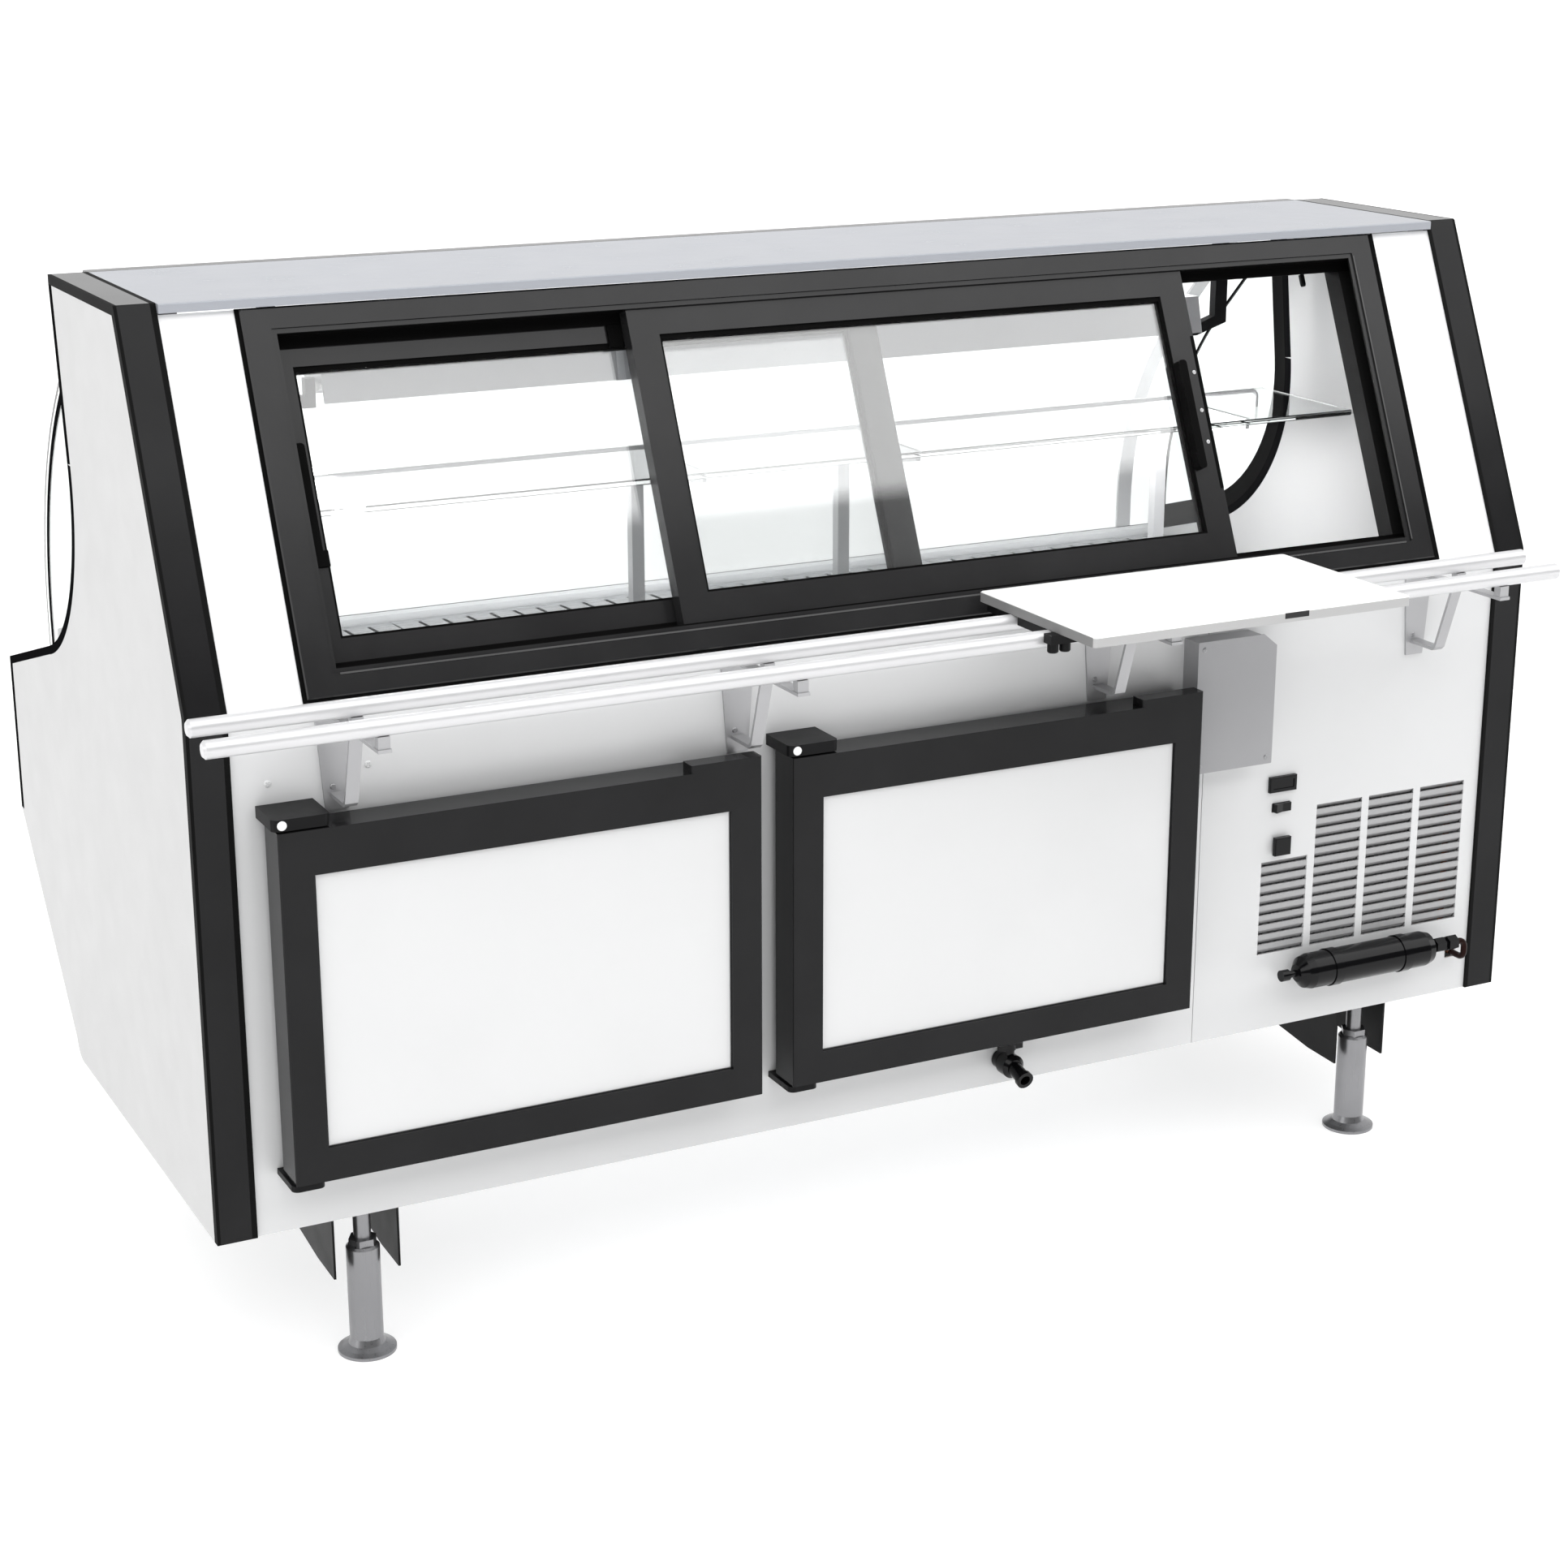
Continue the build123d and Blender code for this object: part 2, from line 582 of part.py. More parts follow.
# ---------------------------------------------------------------- cabinet structure
def storage_body():
    """Foamed store tub: floor, sloping customer wall, dividing wall and machine floor."""
    floor_z, wall_t = 40.0, 38.0
    foot_y, foot_z = TOE_SLOPE_FOOT
    toe_y, toe_z = foot_y - 5, foot_z + 2.5
    knee_y = FRONT_Y - 18
    knee_z = toe_z + (knee_y - toe_y) * (BUMPER_BOTTOM_Z - foot_z) / (FRONT_Y - foot_y)
    tub = section(
        (WALL_Y[1], 0), (TOE_Y - 15, 0), (toe_y, toe_z), (knee_y, knee_z),
        (knee_y, WELL_Z[0]), (WALL_Y[1], WELL_Z[0]),
    )
    inside_y = (WALL_Y[1] - 1, knee_y - wall_t)
    roof_z = WELL_Z[0] + 1
    inside = section(
        (inside_y[0], floor_z), (toe_y - wall_t, floor_z), (inside_y[1], knee_z + 14),
        (inside_y[1], roof_z), (inside_y[0], roof_z),
    )
    shell = along_x(tub, (INNER_X[0], MACHINE_X))
    cavity = along_x(inside, (INNER_X[0], MACHINE_X - 40))
    machine_floor = block((MACHINE_X, INNER_X[1]), (26, TOE_Y - 20), (0, MACHINE_FLOOR_Z))
    return shell - cavity + machine_floor


def display_tank():
    """Insulated well under the display: floor slab and raised customer edge."""
    edge = FRONT_Y - 12
    under_ledge = BUMPER_LEDGE_T + 1
    ridge_z = PAN_FRONT_Z + 9
    well = section(
        (WALL_Y[1], WELL_Z[0]), (edge, WELL_Z[0]), (edge, ledge_z(edge) - under_ledge),
        (BUMPER_BACK_Y, ledge_z(BUMPER_BACK_Y) - under_ledge), (BUMPER_BACK_Y, ridge_z),
        (WELL_FRONT_Y, ridge_z), (WELL_FRONT_Y, WELL_Z[1]), (WALL_Y[1], WELL_Z[1]),
    )
    return along_x(well, INNER_X)


def deck_pans():
    """Four lift-out display pans on a slope towards the customer, with a row of air slots."""
    count = 4
    gap = 3.0
    back, front = PAN_Y
    back_z = PAN_FRONT_Z + (front - back) * PAN_SLOPE
    width = (DISPLAY_X[1] - DISPLAY_X[0] - 2 * gap - gap * (count - 1)) / count
    plate = section(
        (back, back_z), (front, PAN_FRONT_Z), (front, PAN_FRONT_Z - 12),
        (front - SHEET, PAN_FRONT_Z - 12), (front - SHEET, PAN_FRONT_Z - SHEET),
        (back + SHEET, back_z - SHEET), (back + SHEET, back_z - 14), (back, back_z - 14),
    )
    through_z = (PAN_FRONT_Z - 22, back_z + 8)
    slot_y = (front - 85, front - 20)
    post_y = (POST_Y[0] - 2, POST_Y[1] + 2)
    post_holes = [block(across(x, 22), post_y, through_z) for x in POST_X]
    pans = []
    for index in range(count):
        left = DISPLAY_X[0] + gap + index * (width + gap)
        slots = [
            block(across(left + width * step / 12, 6), slot_y, through_z) for step in range(1, 12)
        ]
        pans.append(along_x(plate, (left, left + width)) - slots - post_holes)
    return pans


# ---------------------------------------------------------------- display fittings
def lamp_housing():
    """Long reflector hood, open downwards, with an end plate at either end."""
    y, z = LAMP_AXIS
    hood = section(
        (y - 30, z + 27), (y + 30, z + 27), (y + 43, z - 23), (y + 39, z - 23),
        (y + 27, z + 23), (y - 27, z + 23), (y - 39, z - 23), (y - 43, z - 23),
    )
    plate = section((y - 30, z + 27), (y + 30, z + 27), (y + 37, z), (y - 37, z))
    body = along_x(hood, LAMP_X)
    ends = ((LAMP_X[0], LAMP_X[0] + 4), (LAMP_X[1] - 4, LAMP_X[1]))
    return body + [along_x(plate, x) for x in ends]


def lamp_brackets():
    """Two black hooks that carry the lamp from the top."""
    y, z = LAMP_AXIS
    roof_z = TOP_Z - 11
    outline = (
        (0, z + 4), (0, z - 33), (16, z - 33), (66, z - 17), (66, roof_z),
        (46, roof_z), (46, z - 7), (13, z - 18), (13, z + 4),
    )
    hangers = []
    for end, side in zip(LAMP_X, (-1, 1)):
        hook = section(*[(end + side * dx, height) for dx, height in outline])
        hangers.append(extrude(Plane.XZ.offset(7 - y) * hook, amount=14, dir=(0, 1, 0)))
    return hangers


def lamp_tube():
    """Fluorescent tube between the hood's end plates."""
    return rod((LAMP_X[0] + 4, *LAMP_AXIS), (LAMP_X[1] - 4, *LAMP_AXIS), 13)


def display_shelf():
    """Glass shelf over the whole width of the display."""
    shelf = block((DISPLAY_X[0] + 3, DISPLAY_X[1] - 3), SHELF_Y, SHELF_Z)
    return chamfer(shelf.edges().filter_by(Axis.X), 1.5)


def shelf_supports():
    """Posts from the well floor with tapered cantilever arms, and the shelf's fence rod."""
    back, front = POST_Y
    top, tip = SHELF_Z[0], SHELF_Y[0] + 15
    arm = section((front, top), (tip, top), (tip, top - 8), (back, top - 48), (front, top - 48))
    supports = [fence_rod()]
    for x in POST_X:
        post = block(across(x, 18), POST_Y, (WELL_Z[1], SHELF_Z[0]))
        supports.append(post + along_x(arm, across(x, 6)))
    return supports


def fence_rod():
    """Long inverted U of round rod that stands on the shelf and keeps goods on it."""
    (left, right), y = FENCE_X, FENCE_Y
    low, high = SHELF_Z[1], SHELF_Z[1] + 24
    path = FilletPolyline((left, y, low), (left, y, high), (right, y, high), (right, y, low), radius=9)
    return sweep(Plane(path @ 0, z_dir=path % 0) * Circle(3), path)


# ---------------------------------------------------------------- refrigeration
def finned_block(x, y, z, fins_x, pitch, groove):
    """Coil block: grooves between its fins and tube bends at both ends."""
    coil = block(x, y, z)
    count = int((fins_x[1] - fins_x[0]) / pitch)
    for index in range(count):
        left = fins_x[0] + pitch * (index + 0.25)
        coil -= block((left, left + pitch / 2), (y[0] - 1, y[0] + groove), (z[0] + 6, z[1] - 6))
    row_pitch = 50
    inside = block((x[0] + 1, x[1] - 1), y, z)
    for row in range(round((z[1] - z[0]) / row_pitch)):
        height = z[0] + 22 + row_pitch * row
        for end in x:
            bend = Pos(end, sum(y) / 2, height) * (Cylinder(12, 7) - Cylinder(6, 9))
            coil += bend - inside
    return coil


def evaporator():
    """Coil under the deck pans, and the plate beside it that holds the fan ring and motor."""
    base = WELL_Z[1]
    coil = finned_block(COIL_X, COIL_Y, (base, base + 44), (COIL_X[0] + 10, COIL_X[1] - 10), 26, 14)
    x, y, _ = EVAPORATOR_FAN
    plate_t, motor_h = 5, 11
    plate = block(across(x, 260), across(y, 260), (base, base + plate_t))
    ring = Cylinder(112, 34, align=STAND) - Cylinder(107, 34, align=STAND)
    ring = Pos(x, y, base + plate_t) * ring
    motor = Pos(x, y, base + plate_t) * Cylinder(34, motor_h, align=STAND)
    shaft = Pos(x, y, base + plate_t + motor_h) * Cylinder(FAN_SHAFT_R, 26, align=STAND)
    return [coil, plate + ring + motor + shaft]


def fan_wheel(radius, hub_r, depth, blades):
    """Axial fan about Z: pitched blades on a hub, bored for its shaft."""
    pitch = 26
    root = 4
    blade = Box(radius - hub_r + root, radius * 0.55, 2.0)
    blade = Pos((radius + hub_r - root) / 2, 0, 0) * Rot(pitch, 0, 0) * blade
    wheel = Cylinder(hub_r, depth)
    for index in range(blades):
        wheel += Rot(0, 0, index * 360 / blades) * blade
    wheel &= Cylinder(radius, depth * 2.2)
    return wheel - Cylinder(FAN_BORE_R, depth * 3)


def compressor():
    """Hermetic shell with its weld flange on a foot plate, with a pipe stub and a terminal box."""
    x, y = COMPRESSOR
    shell = section(
        (0, 30), (66, 30), (82, 52), (82, 114), (86, 114), (86, 122), (82, 122),
        (82, 158), (60, 192), (20, 202), (0, 202),
    )
    body = Pos(x, y, 0) * Rot(0, 0, 75) * revolve(Plane.XZ * shell, Axis.Z)
    plate = block(across(x, 200), across(y, 160), (26, 34))
    pads = [
        Pos(x + dx, y + dy, MACHINE_FLOOR_Z) * Cylinder(11, 9, align=STAND)
        for dx in (-82, 82) for dy in (-62, 62)
    ]
    stub = rod((x, y - 70, 142), (x, y - 100, 142), 8)
    terminal = block((x + 72, x + 102), across(y, 40), (90, 140))
    return body + plate + pads + stub + terminal


def condenser():
    """Finned block behind the louvres with the shroud and ring of its fan."""
    fins_x = (CONDENSER_X[0] + 10, CONDENSER_X[1] - 10)
    coil = finned_block(CONDENSER_X, CONDENSER_Y, CONDENSER_Z, fins_x, 13, 6)
    back = CONDENSER_Y[1]
    x, _, z = CONDENSER_FAN
    shroud = block(CONDENSER_X, (back, back + 4), CONDENSER_Z)
    ring = rod((x, back + 1, z), (x, back + 47, z), 132)
    throat = rod((x, back, z), (x, back + 52, z), 128)
    return coil + (shroud + ring - throat)


def condenser_fan_motor():
    """Motor on a cross strap behind the fan, with a leg at either end of the strap."""
    x, fan_y, z = CONDENSER_FAN
    motor = rod((x, fan_y + 54, z), (x, fan_y + 124, z), 36)
    motor = chamfer(motor.edges().filter_by(GeomType.CIRCLE), 4.0)
    shaft = rod((x, fan_y + 55, z), (x, fan_y - 16, z), FAN_SHAFT_R)
    strap_x = across(x, 290)
    strap_y = (232, 238)
    strap = block(strap_x, strap_y, across(z, 20))
    legs = [
        block(leg_x, (strap_y[0] - 82, strap_y[1]), (MACHINE_FLOOR_Z, z + 10))
        for leg_x in ((strap_x[0] - 6, strap_x[0]), (strap_x[1], strap_x[1] + 6))
    ]
    return motor + shaft + strap + legs


def filter_drier():
    """Black domed canister clipped below the louvres, with its flare nuts."""
    radius = 25.0
    y, z = DRIER
    left, right = DRIER_X
    dome = ((0, 0), (2, 12), (11, 22), (22, radius))
    left_end = [(left + dx, r) for dx, r in dome]
    right_end = [(right - dx, r) for dx, r in reversed(dome)]
    can = Pos(0, y, z) * revolve(Plane.XZ * section(*left_end, *right_end), Axis.X)
    stub = rod((left + 4, y, z), (left - 18, y, z), 5)
    stub += rod((left - 12, y, z), (left - 24, y, z), 8)
    nuts = [
        Plane(origin=(x, y, z), z_dir=(1, 0, 0)) * extrude(RegularPolygon(11, 6), 16)
        for x in (right + 2, right + 24)
    ]
    neck = rod((right - 4, y, z), (right + 30, y, z), 6)
    clips = []
    for x in (left + 60, right - 60):
        clips.append(rod((x - 7, y, z), (x + 7, y, z), radius + 1.5))
        clips.append(block(across(x, 14), (y, WALL_Y[0]), across(z, 16)))
    return can + stub + nuts + neck + clips


def liquid_line():
    """Copper line from the drier, in through the cover and up behind the louvres."""
    y, z = DRIER
    path = FilletPolyline(
        (DRIER_X[1] + 41, y, z), (LINE_X, y, z), (LINE_X, y, LINE_Z), (LINE_X, 30, LINE_Z),
        (LINE_X, 30, 330),
        radius=10,
    )
    return sweep(Plane(path @ 0, z_dir=path % 0) * Circle(4.5), path)


# ---------------------------------------------------------------- service-side fittings
def junction_box():
    """Shallow sheet-metal box with a clipped corner and a screwed lid."""
    x, y, z = BOX_X, BOX_Y, BOX_Z
    outline = section(
        (x[0], z[0]), (x[1], z[0]), (x[1], z[1] - 16), (x[1] - 20, z[1]), (x[0], z[1])
    )
    body = extrude(Plane.XZ.offset(-y[1]) * outline, amount=y[1] - y[0], dir=(0, -1, 0))
    lid = extrude(Plane.XZ.offset(-y[0]) * offset(outline, 1.5), amount=1.5, dir=(0, -1, 0))
    return body + lid


def temperature_display():
    """Controller with a raised bezel and a sunk window."""
    x, z = CONTROLLER
    bezel = block(across(x, 44), (-2, WALL_Y[0]), across(z, 22))
    bezel = fillet(bezel.edges().group_by(Axis.Y)[0], 1.5)
    window = block(across(x, 34), (-3, -0.8), across(z, 12))
    body = block(across(x, 38), WALL_Y, across(z, 17))
    return bezel - window + body


def rocker_switch():
    """Rocker about an upright axis: one half lies flush while the other stands proud."""
    x, z = ROCKER
    half, height = 14, 12
    outline = section(
        (x - half, 3.5), (x - half + 1.5, -4.5), (x, -0.5), (x + half, -0.5), (x + half, 3.5), (x, 12)
    )
    return Pos(0, 0, z - height / 2) * extrude(outline, height)


def push_button():
    """Square-headed plunger in a round guide hole."""
    x, z = BUTTON
    head = block(across(x, 26), (-7, 0.2), across(z, 26))
    head = fillet(head.edges().group_by(Axis.Y)[0], 2.0)
    return head + rod((x, -2, z), (x, 20, z), BUTTON_R)


def drain_valve():
    """Ball valve on the store drain: tail pipe, ball body and hose outlet."""
    x, y, z = DRAIN
    tail = rod((x, WALL_Y[1] - 2, z), (x, y + 14, z), 8.4)
    collar = rod((x, WALL_Y[0] - 1, z), (x, y + 14, z), 13)
    ball = rod((x, y + 14, z), (x, y - 14, z), 16)
    ball = chamfer(ball.edges().filter_by(GeomType.CIRCLE), 5.0)
    outlet = rod((x, y - 8, z), (x, y - 40, z - 8), 10)
    lip = rod((x, y - 34, z - 6.5), (x, y - 40, z - 8), 12)
    gland = Pos(x, y, z + 10) * Cylinder(6, 12, align=STAND)
    bore = rod((x, y - 22, z - 3.5), (x, y - 44, z - 9), 7)
    return tail + collar + ball + outlet + lip + gland - bore


def drain_lever():
    """Butterfly lever that turns on the valve's gland."""
    x, y, z = DRAIN
    base = Pos(x, y, z + 22.3) * Cylinder(8, 7, align=STAND)
    wing = Pos(x, y, z + 26) * Box(38, 9, 7)
    wing = fillet(wing.edges().filter_by(Axis.Z), 4.0)
    return base + wing


# ---------------------------------------------------------------- board rails and board
def board_rails():
    """Two tubes with rounded-off end caps."""
    rails = []
    for left, right, y in RAILS:
        rail = rod((left, y, RAIL_Z), (right, y, RAIL_Z), RAIL_R)
        rails.append(chamfer(rail.edges().filter_by(GeomType.CIRCLE), 3.0))
    return rails


def rail_bracket(x):
    """Tapered wall plate, bent strap arm and cross bar with a cradle for each rail."""
    foot_z, bar_z = 514, 628
    plate = section((x - 22, bar_z), (x + 22, bar_z), (x + 14, foot_z), (x - 14, foot_z))
    plate = extrude(Plane.XZ.offset(-WALL_Y[0]) * plate, amount=SHEET, dir=(0, -1, 0))
    strap_z = foot_z + 17
    strap = section(
        (1, strap_z), (-46, strap_z), (-52, strap_z + 5), (-82, bar_z),
        (-77.5, bar_z), (-49, strap_z + 9), (-44, strap_z + 4.5), (1, strap_z + 4.5),
    )
    arm = along_x(strap, across(x, 16))
    bar = block(across(x, 30), (RAILS[1][2] - 16, WALL_Y[0]), (bar_z, bar_z + 6))
    cradles = [block(across(x, 26), across(y, 20), (bar_z + 6, RAIL_Z - 4.5)) for _, _, y in RAILS]
    tubes = [rod((x - 30, y, RAIL_Z), (x + 30, y, RAIL_Z), RAIL_R) for _, _, y in RAILS]
    return plate + arm + bar + cradles - tubes


def cutting_board():
    """Plastic slab with rounded corners and a softened top edge."""
    board = block(BOARD_X, BOARD_Y, BOARD_Z)
    board = fillet(board.edges().filter_by(Axis.Z), 6.0)
    return chamfer(board.edges().group_by(Axis.Z)[-1], 1.2)


def board_saddle(x):
    """Three pads under the board that straddle the rails, with two clamp knobs."""
    z = (RAIL_Z - 1.5, BOARD_Z[0])
    inner_y = RAILS[0][2] + RAIL_R + 4.5
    outer_y = RAILS[1][2] - RAIL_R - 2.5
    inner = block(across(x, 28), (inner_y, -12), z)
    middle = block(across(x, 48), (-156, -94), z)
    outer = block(across(x, 28), (BOARD_Y[0] + 7, outer_y), z)
    for dx in (-11, 11):
        middle += Pos(x + dx, -126, z[0] - 15) * Cylinder(8, 15.2, align=STAND)
    return inner, middle, outer


# ---------------------------------------------------------------- base
def base_rail(x):
    """Inverted channel across the underside that carries a rear and a front leg."""
    width = 86
    depth = 100
    back, front = 47, 575
    middle = (back + front) / 2
    waist_z = 38 - depth
    rear_half = [(back, 0), (back, -depth), (110, 2 - depth), (200, 14 - depth), (260, waist_z)]
    front_half = [(2 * middle - y, z) for y, z in reversed(rear_half)]
    channel = along_x(section(*rear_half, *front_half), across(x, width))
    return channel - block(across(x, width - 2 * SHEET), (0, 700), (-depth - 10, -SHEET))


def leg_tube(x, y):
    """Threaded stud and the tube it carries, bored from below for the foot."""
    stud = Pos(x, y, TUBE_Z[1]) * Cylinder(11, -SHEET - TUBE_Z[1], align=STAND)
    tube = Pos(x, y, TUBE_Z[0]) * Cylinder(TUBE_R, TUBE_Z[1] - TUBE_Z[0], align=STAND)
    tube = chamfer(tube.edges().sort_by(Axis.Z)[-1], 3.0)
    bore = Pos(x, y, TUBE_Z[0] - 1) * Cylinder(NECK_BORE_R, FOOT_NECK_L + 20, align=STAND)
    nut = Pos(x, y, TUBE_Z[1]) * extrude(RegularPolygon(18, 6), 9)
    return stud + tube + nut - bore


def foot(x, y):
    """Adjustable foot: neck in the leg tube, flared skirt and floor flange."""
    floor = -BASE_Z
    top = TUBE_Z[0] - 0.4
    neck_top = top + FOOT_NECK_L
    profile = section(
        (0, floor), (FLANGE_R, floor), (FLANGE_R, floor + 4), (30, floor + 7),
        (23, floor + 11), (20, top), (NECK_R, top), (NECK_R, neck_top), (0, neck_top),
    )
    return Pos(x, y, 0) * revolve(Plane.XZ * profile, Axis.Z)


# ---------------------------------------------------------------- build every node
os.makedirs("parts", exist_ok=True)

save("end_panel_left", end_panel(LEFT_X, LEFT_LINER_X))
save("end_panel_right", end_panel(RIGHT_X, RIGHT_LINER_X))
channels = [glass_channel(x) for x in (LEFT_LINER_X, RIGHT_LINER_X)]
save("end_trims", end_trim(LEFT_X), end_trim(RIGHT_X), *channels)
save("top_panel", top_panel())
save("upper_rear_panel", upper_rear_panel())
save("rear_panel", rear_panel())
save("machine_cover", machine_cover())
save("front_lower_panel", front_lower_panel())
save("front_bumper", front_bumper())

curved_glass = front_glass()
save("front_glass", curved_glass)
save("end_glasses", *[end_glass(across(x, 6)) for x in (45, LENGTH - 45)])
save("glass_supports", *[glass_support(x) for x in GLASS_SUPPORT_X])
save("top_glass_rail", top_glass_rail(curved_glass))

save("window_frame", window_frame())
save(
    "door_tracks",
    track((TRACK_TOP_S, TRACK_TOP_S + SHEET), (419, TRACK_TOP_S), (427, TRACK_TOP_S)),
    track(TRACK_FOOT_S, (TRACK_FOOT_S[1], 46), (TRACK_FOOT_S[1], 46)),
)
for name, left, depth, pull_x, proud in (
    ("outer_door", OUTER_SLIDER_X, OUTER_TRACK_N, OUTER_PULL_X, 14.0),
    ("inner_door", INNER_SLIDER_X, INNER_TRACK_N, INNER_PULL_X, 4.4),
):
    save(f"{name}_frame", slider_frame(left, depth))
    save(f"{name}_glass", slider_glass(left, depth))
    save(f"{name}_handle", finger_pull(pull_x, depth[1], proud))

for side, span in zip(("left", "right"), STORE_DOOR_X):
    frame, panel, gasket = store_door(span)
    save(f"storage_door_{side}_frame", frame)
    save(f"storage_door_{side}_panel", panel)
    save(f"storage_door_{side}_gasket", gasket)
save("door_hinges", *[leaf for span in STORE_DOOR_X for leaf in hinge_pair(span)])

save("storage_body", storage_body())
save("display_tank", display_tank())
save("deck_pans", *deck_pans())
save("lamp_housing", lamp_housing())
save("lamp_tube", lamp_tube())
save("lamp_brackets", *lamp_brackets())
save("display_shelf", display_shelf())
save("shelf_supports", *shelf_supports())

save("evaporator_coil", *evaporator())
save("evaporator_fan_blade", Pos(*EVAPORATOR_FAN) * fan_wheel(103, 22, 14, 5))
save("compressor", compressor())
save("condenser_coil", condenser())
save("condenser_fan_motor", condenser_fan_motor())
save("condenser_fan_blade", Pos(*CONDENSER_FAN) * Rot(90, 0, 0) * fan_wheel(122, 26, 16, 4))
save("filter_drier", filter_drier())
save("liquid_line", liquid_line())

save("junction_box", junction_box())
save("temperature_display", temperature_display())
save("rocker_switch", rocker_switch())
save("push_button", push_button())
save("drain_valve", drain_valve())
save("drain_lever", drain_lever())

save("board_rails", *board_rails())
save("rail_brackets", *[rail_bracket(x) for x in BRACKET_X])
save("cutting_board", cutting_board())
save("board_saddles", *[pad for x in SADDLE_X for pad in board_saddle(x)])

save("base_rails", *[base_rail(x) for x in LEG_X])
save("leg_tubes", *[leg_tube(x, y) for y in LEG_Y for x in LEG_X])
for row, y in zip(("rear", "front"), LEG_Y):
    for side, x in zip(("left", "right"), LEG_X):
        save(f"foot_{row}_{side}", foot(x, y))
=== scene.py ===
"""Looks of the refrigerated deli case: finishes and small trim round its frame, studio and camera."""

import math

import bmesh
import bpy
from mathutils import Matrix, Vector


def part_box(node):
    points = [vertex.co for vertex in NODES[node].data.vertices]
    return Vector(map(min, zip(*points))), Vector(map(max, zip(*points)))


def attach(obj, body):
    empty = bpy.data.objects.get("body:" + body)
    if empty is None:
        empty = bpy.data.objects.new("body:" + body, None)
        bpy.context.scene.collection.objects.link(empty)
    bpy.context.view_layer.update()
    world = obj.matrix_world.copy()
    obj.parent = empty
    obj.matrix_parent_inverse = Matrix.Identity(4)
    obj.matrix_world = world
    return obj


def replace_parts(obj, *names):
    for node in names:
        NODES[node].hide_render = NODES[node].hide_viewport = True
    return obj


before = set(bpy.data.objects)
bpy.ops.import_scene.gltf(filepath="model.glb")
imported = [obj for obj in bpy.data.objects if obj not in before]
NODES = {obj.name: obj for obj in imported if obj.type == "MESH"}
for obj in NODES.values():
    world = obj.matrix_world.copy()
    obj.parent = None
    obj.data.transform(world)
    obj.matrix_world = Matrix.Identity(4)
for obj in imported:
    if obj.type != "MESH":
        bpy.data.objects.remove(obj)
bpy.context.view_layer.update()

# ---------------------------------------------------------------- places on the case
# Cabinet millimetres: X from the left end panel's outer face, Y from the service face towards the
# customer, Z from the cabinet's underside. On the leaning service face, S runs up the slope from the
# waist and N stands out of it.
ORIGIN = Vector((*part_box("end_trims")[0][:2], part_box("end_panel_left")[0].z))
LENGTH = 1900.0
WAIST_Z = 644.0
LEAN_RUN, LEAN_RISE = 194.0, 434.0
LEAN = math.atan2(LEAN_RUN, LEAN_RISE)

ALONG = Vector((1, 0, 0))
CUSTOMER = Vector((0, 1, 0))
SERVICE = Vector((0, -1, 0))
UP = Vector((0, 0, 1))
SLOPE_UP = Vector((0, math.sin(LEAN), math.cos(LEAN)))
SLOPE_OUT = Vector((0, -math.cos(LEAN), math.sin(LEAN)))


def at(x, y, z):
    """A point in cabinet millimetres, in the row frame."""
    return ORIGIN + Vector((x, y, z)) / 1000


def lean(x, s, n):
    """A point on or near the leaning service face, in the row frame."""
    return at(x, 0, WAIST_Z) + (SLOPE_UP * s + SLOPE_OUT * n) / 1000


# ---------------------------------------------------------------- shader nodes
def new_material(name):
    """An empty node material with its shader."""
    material = bpy.data.materials.new(name)
    material.use_nodes = True
    tree = material.node_tree
    return material, tree, tree.nodes["Principled BSDF"]


def object_place(tree, stretch=(1, 1, 1)):
    """The object's own coordinates, in metres, stretched along the axes."""
    place = tree.nodes.new("ShaderNodeTexCoord")
    mapping = tree.nodes.new("ShaderNodeMapping")
    mapping.inputs["Scale"].default_value = stretch
    tree.links.new(place.outputs["Object"], mapping.inputs["Vector"])
    return mapping.outputs["Vector"]


def noise(tree, scale, detail, stretch=(1, 1, 1)):
    """A noise signal in the object's own coordinates."""
    texture = tree.nodes.new("ShaderNodeTexNoise")
    texture.inputs["Scale"].default_value = scale
    texture.inputs["Detail"].default_value = detail
    tree.links.new(object_place(tree, stretch), texture.inputs["Vector"])
    return texture.outputs["Fac"]


def spread(tree, source, low, high, start=0.3, end=0.7):
    """Maps a signal between start and end onto low to high."""
    node = tree.nodes.new("ShaderNodeMapRange")
    node.inputs["From Min"].default_value = start
    node.inputs["From Max"].default_value = end
    node.inputs["To Min"].default_value = low
    node.inputs["To Max"].default_value = high
    tree.links.new(source, node.inputs["Value"])
    return node.outputs["Result"]


def calculate(tree, operation, first, second):
    """A maths node on two signals or numbers."""
    node = tree.nodes.new("ShaderNodeMath")
    node.operation = operation
    for socket, value in zip(node.inputs, (first, second)):
        if isinstance(value, (int, float)):
            socket.default_value = value
        else:
            tree.links.new(value, socket)
    return node.outputs[0]


def both(tree, first, second):
    """One where both masks are one."""
    return calculate(tree, "MULTIPLY", first, second)


def either(tree, first, second):
    """One where at least one of two masks is one."""
    return calculate(tree, "MAXIMUM", first, second)


def without(tree, mask):
    """One where a mask is nothing."""
    return calculate(tree, "SUBTRACT", 1.0, mask)


def between(tree, signal, low, high):
    """One where a signal lies between two levels."""
    return both(tree, calculate(tree, "GREATER_THAN", signal, low),
                calculate(tree, "LESS_THAN", signal, high))


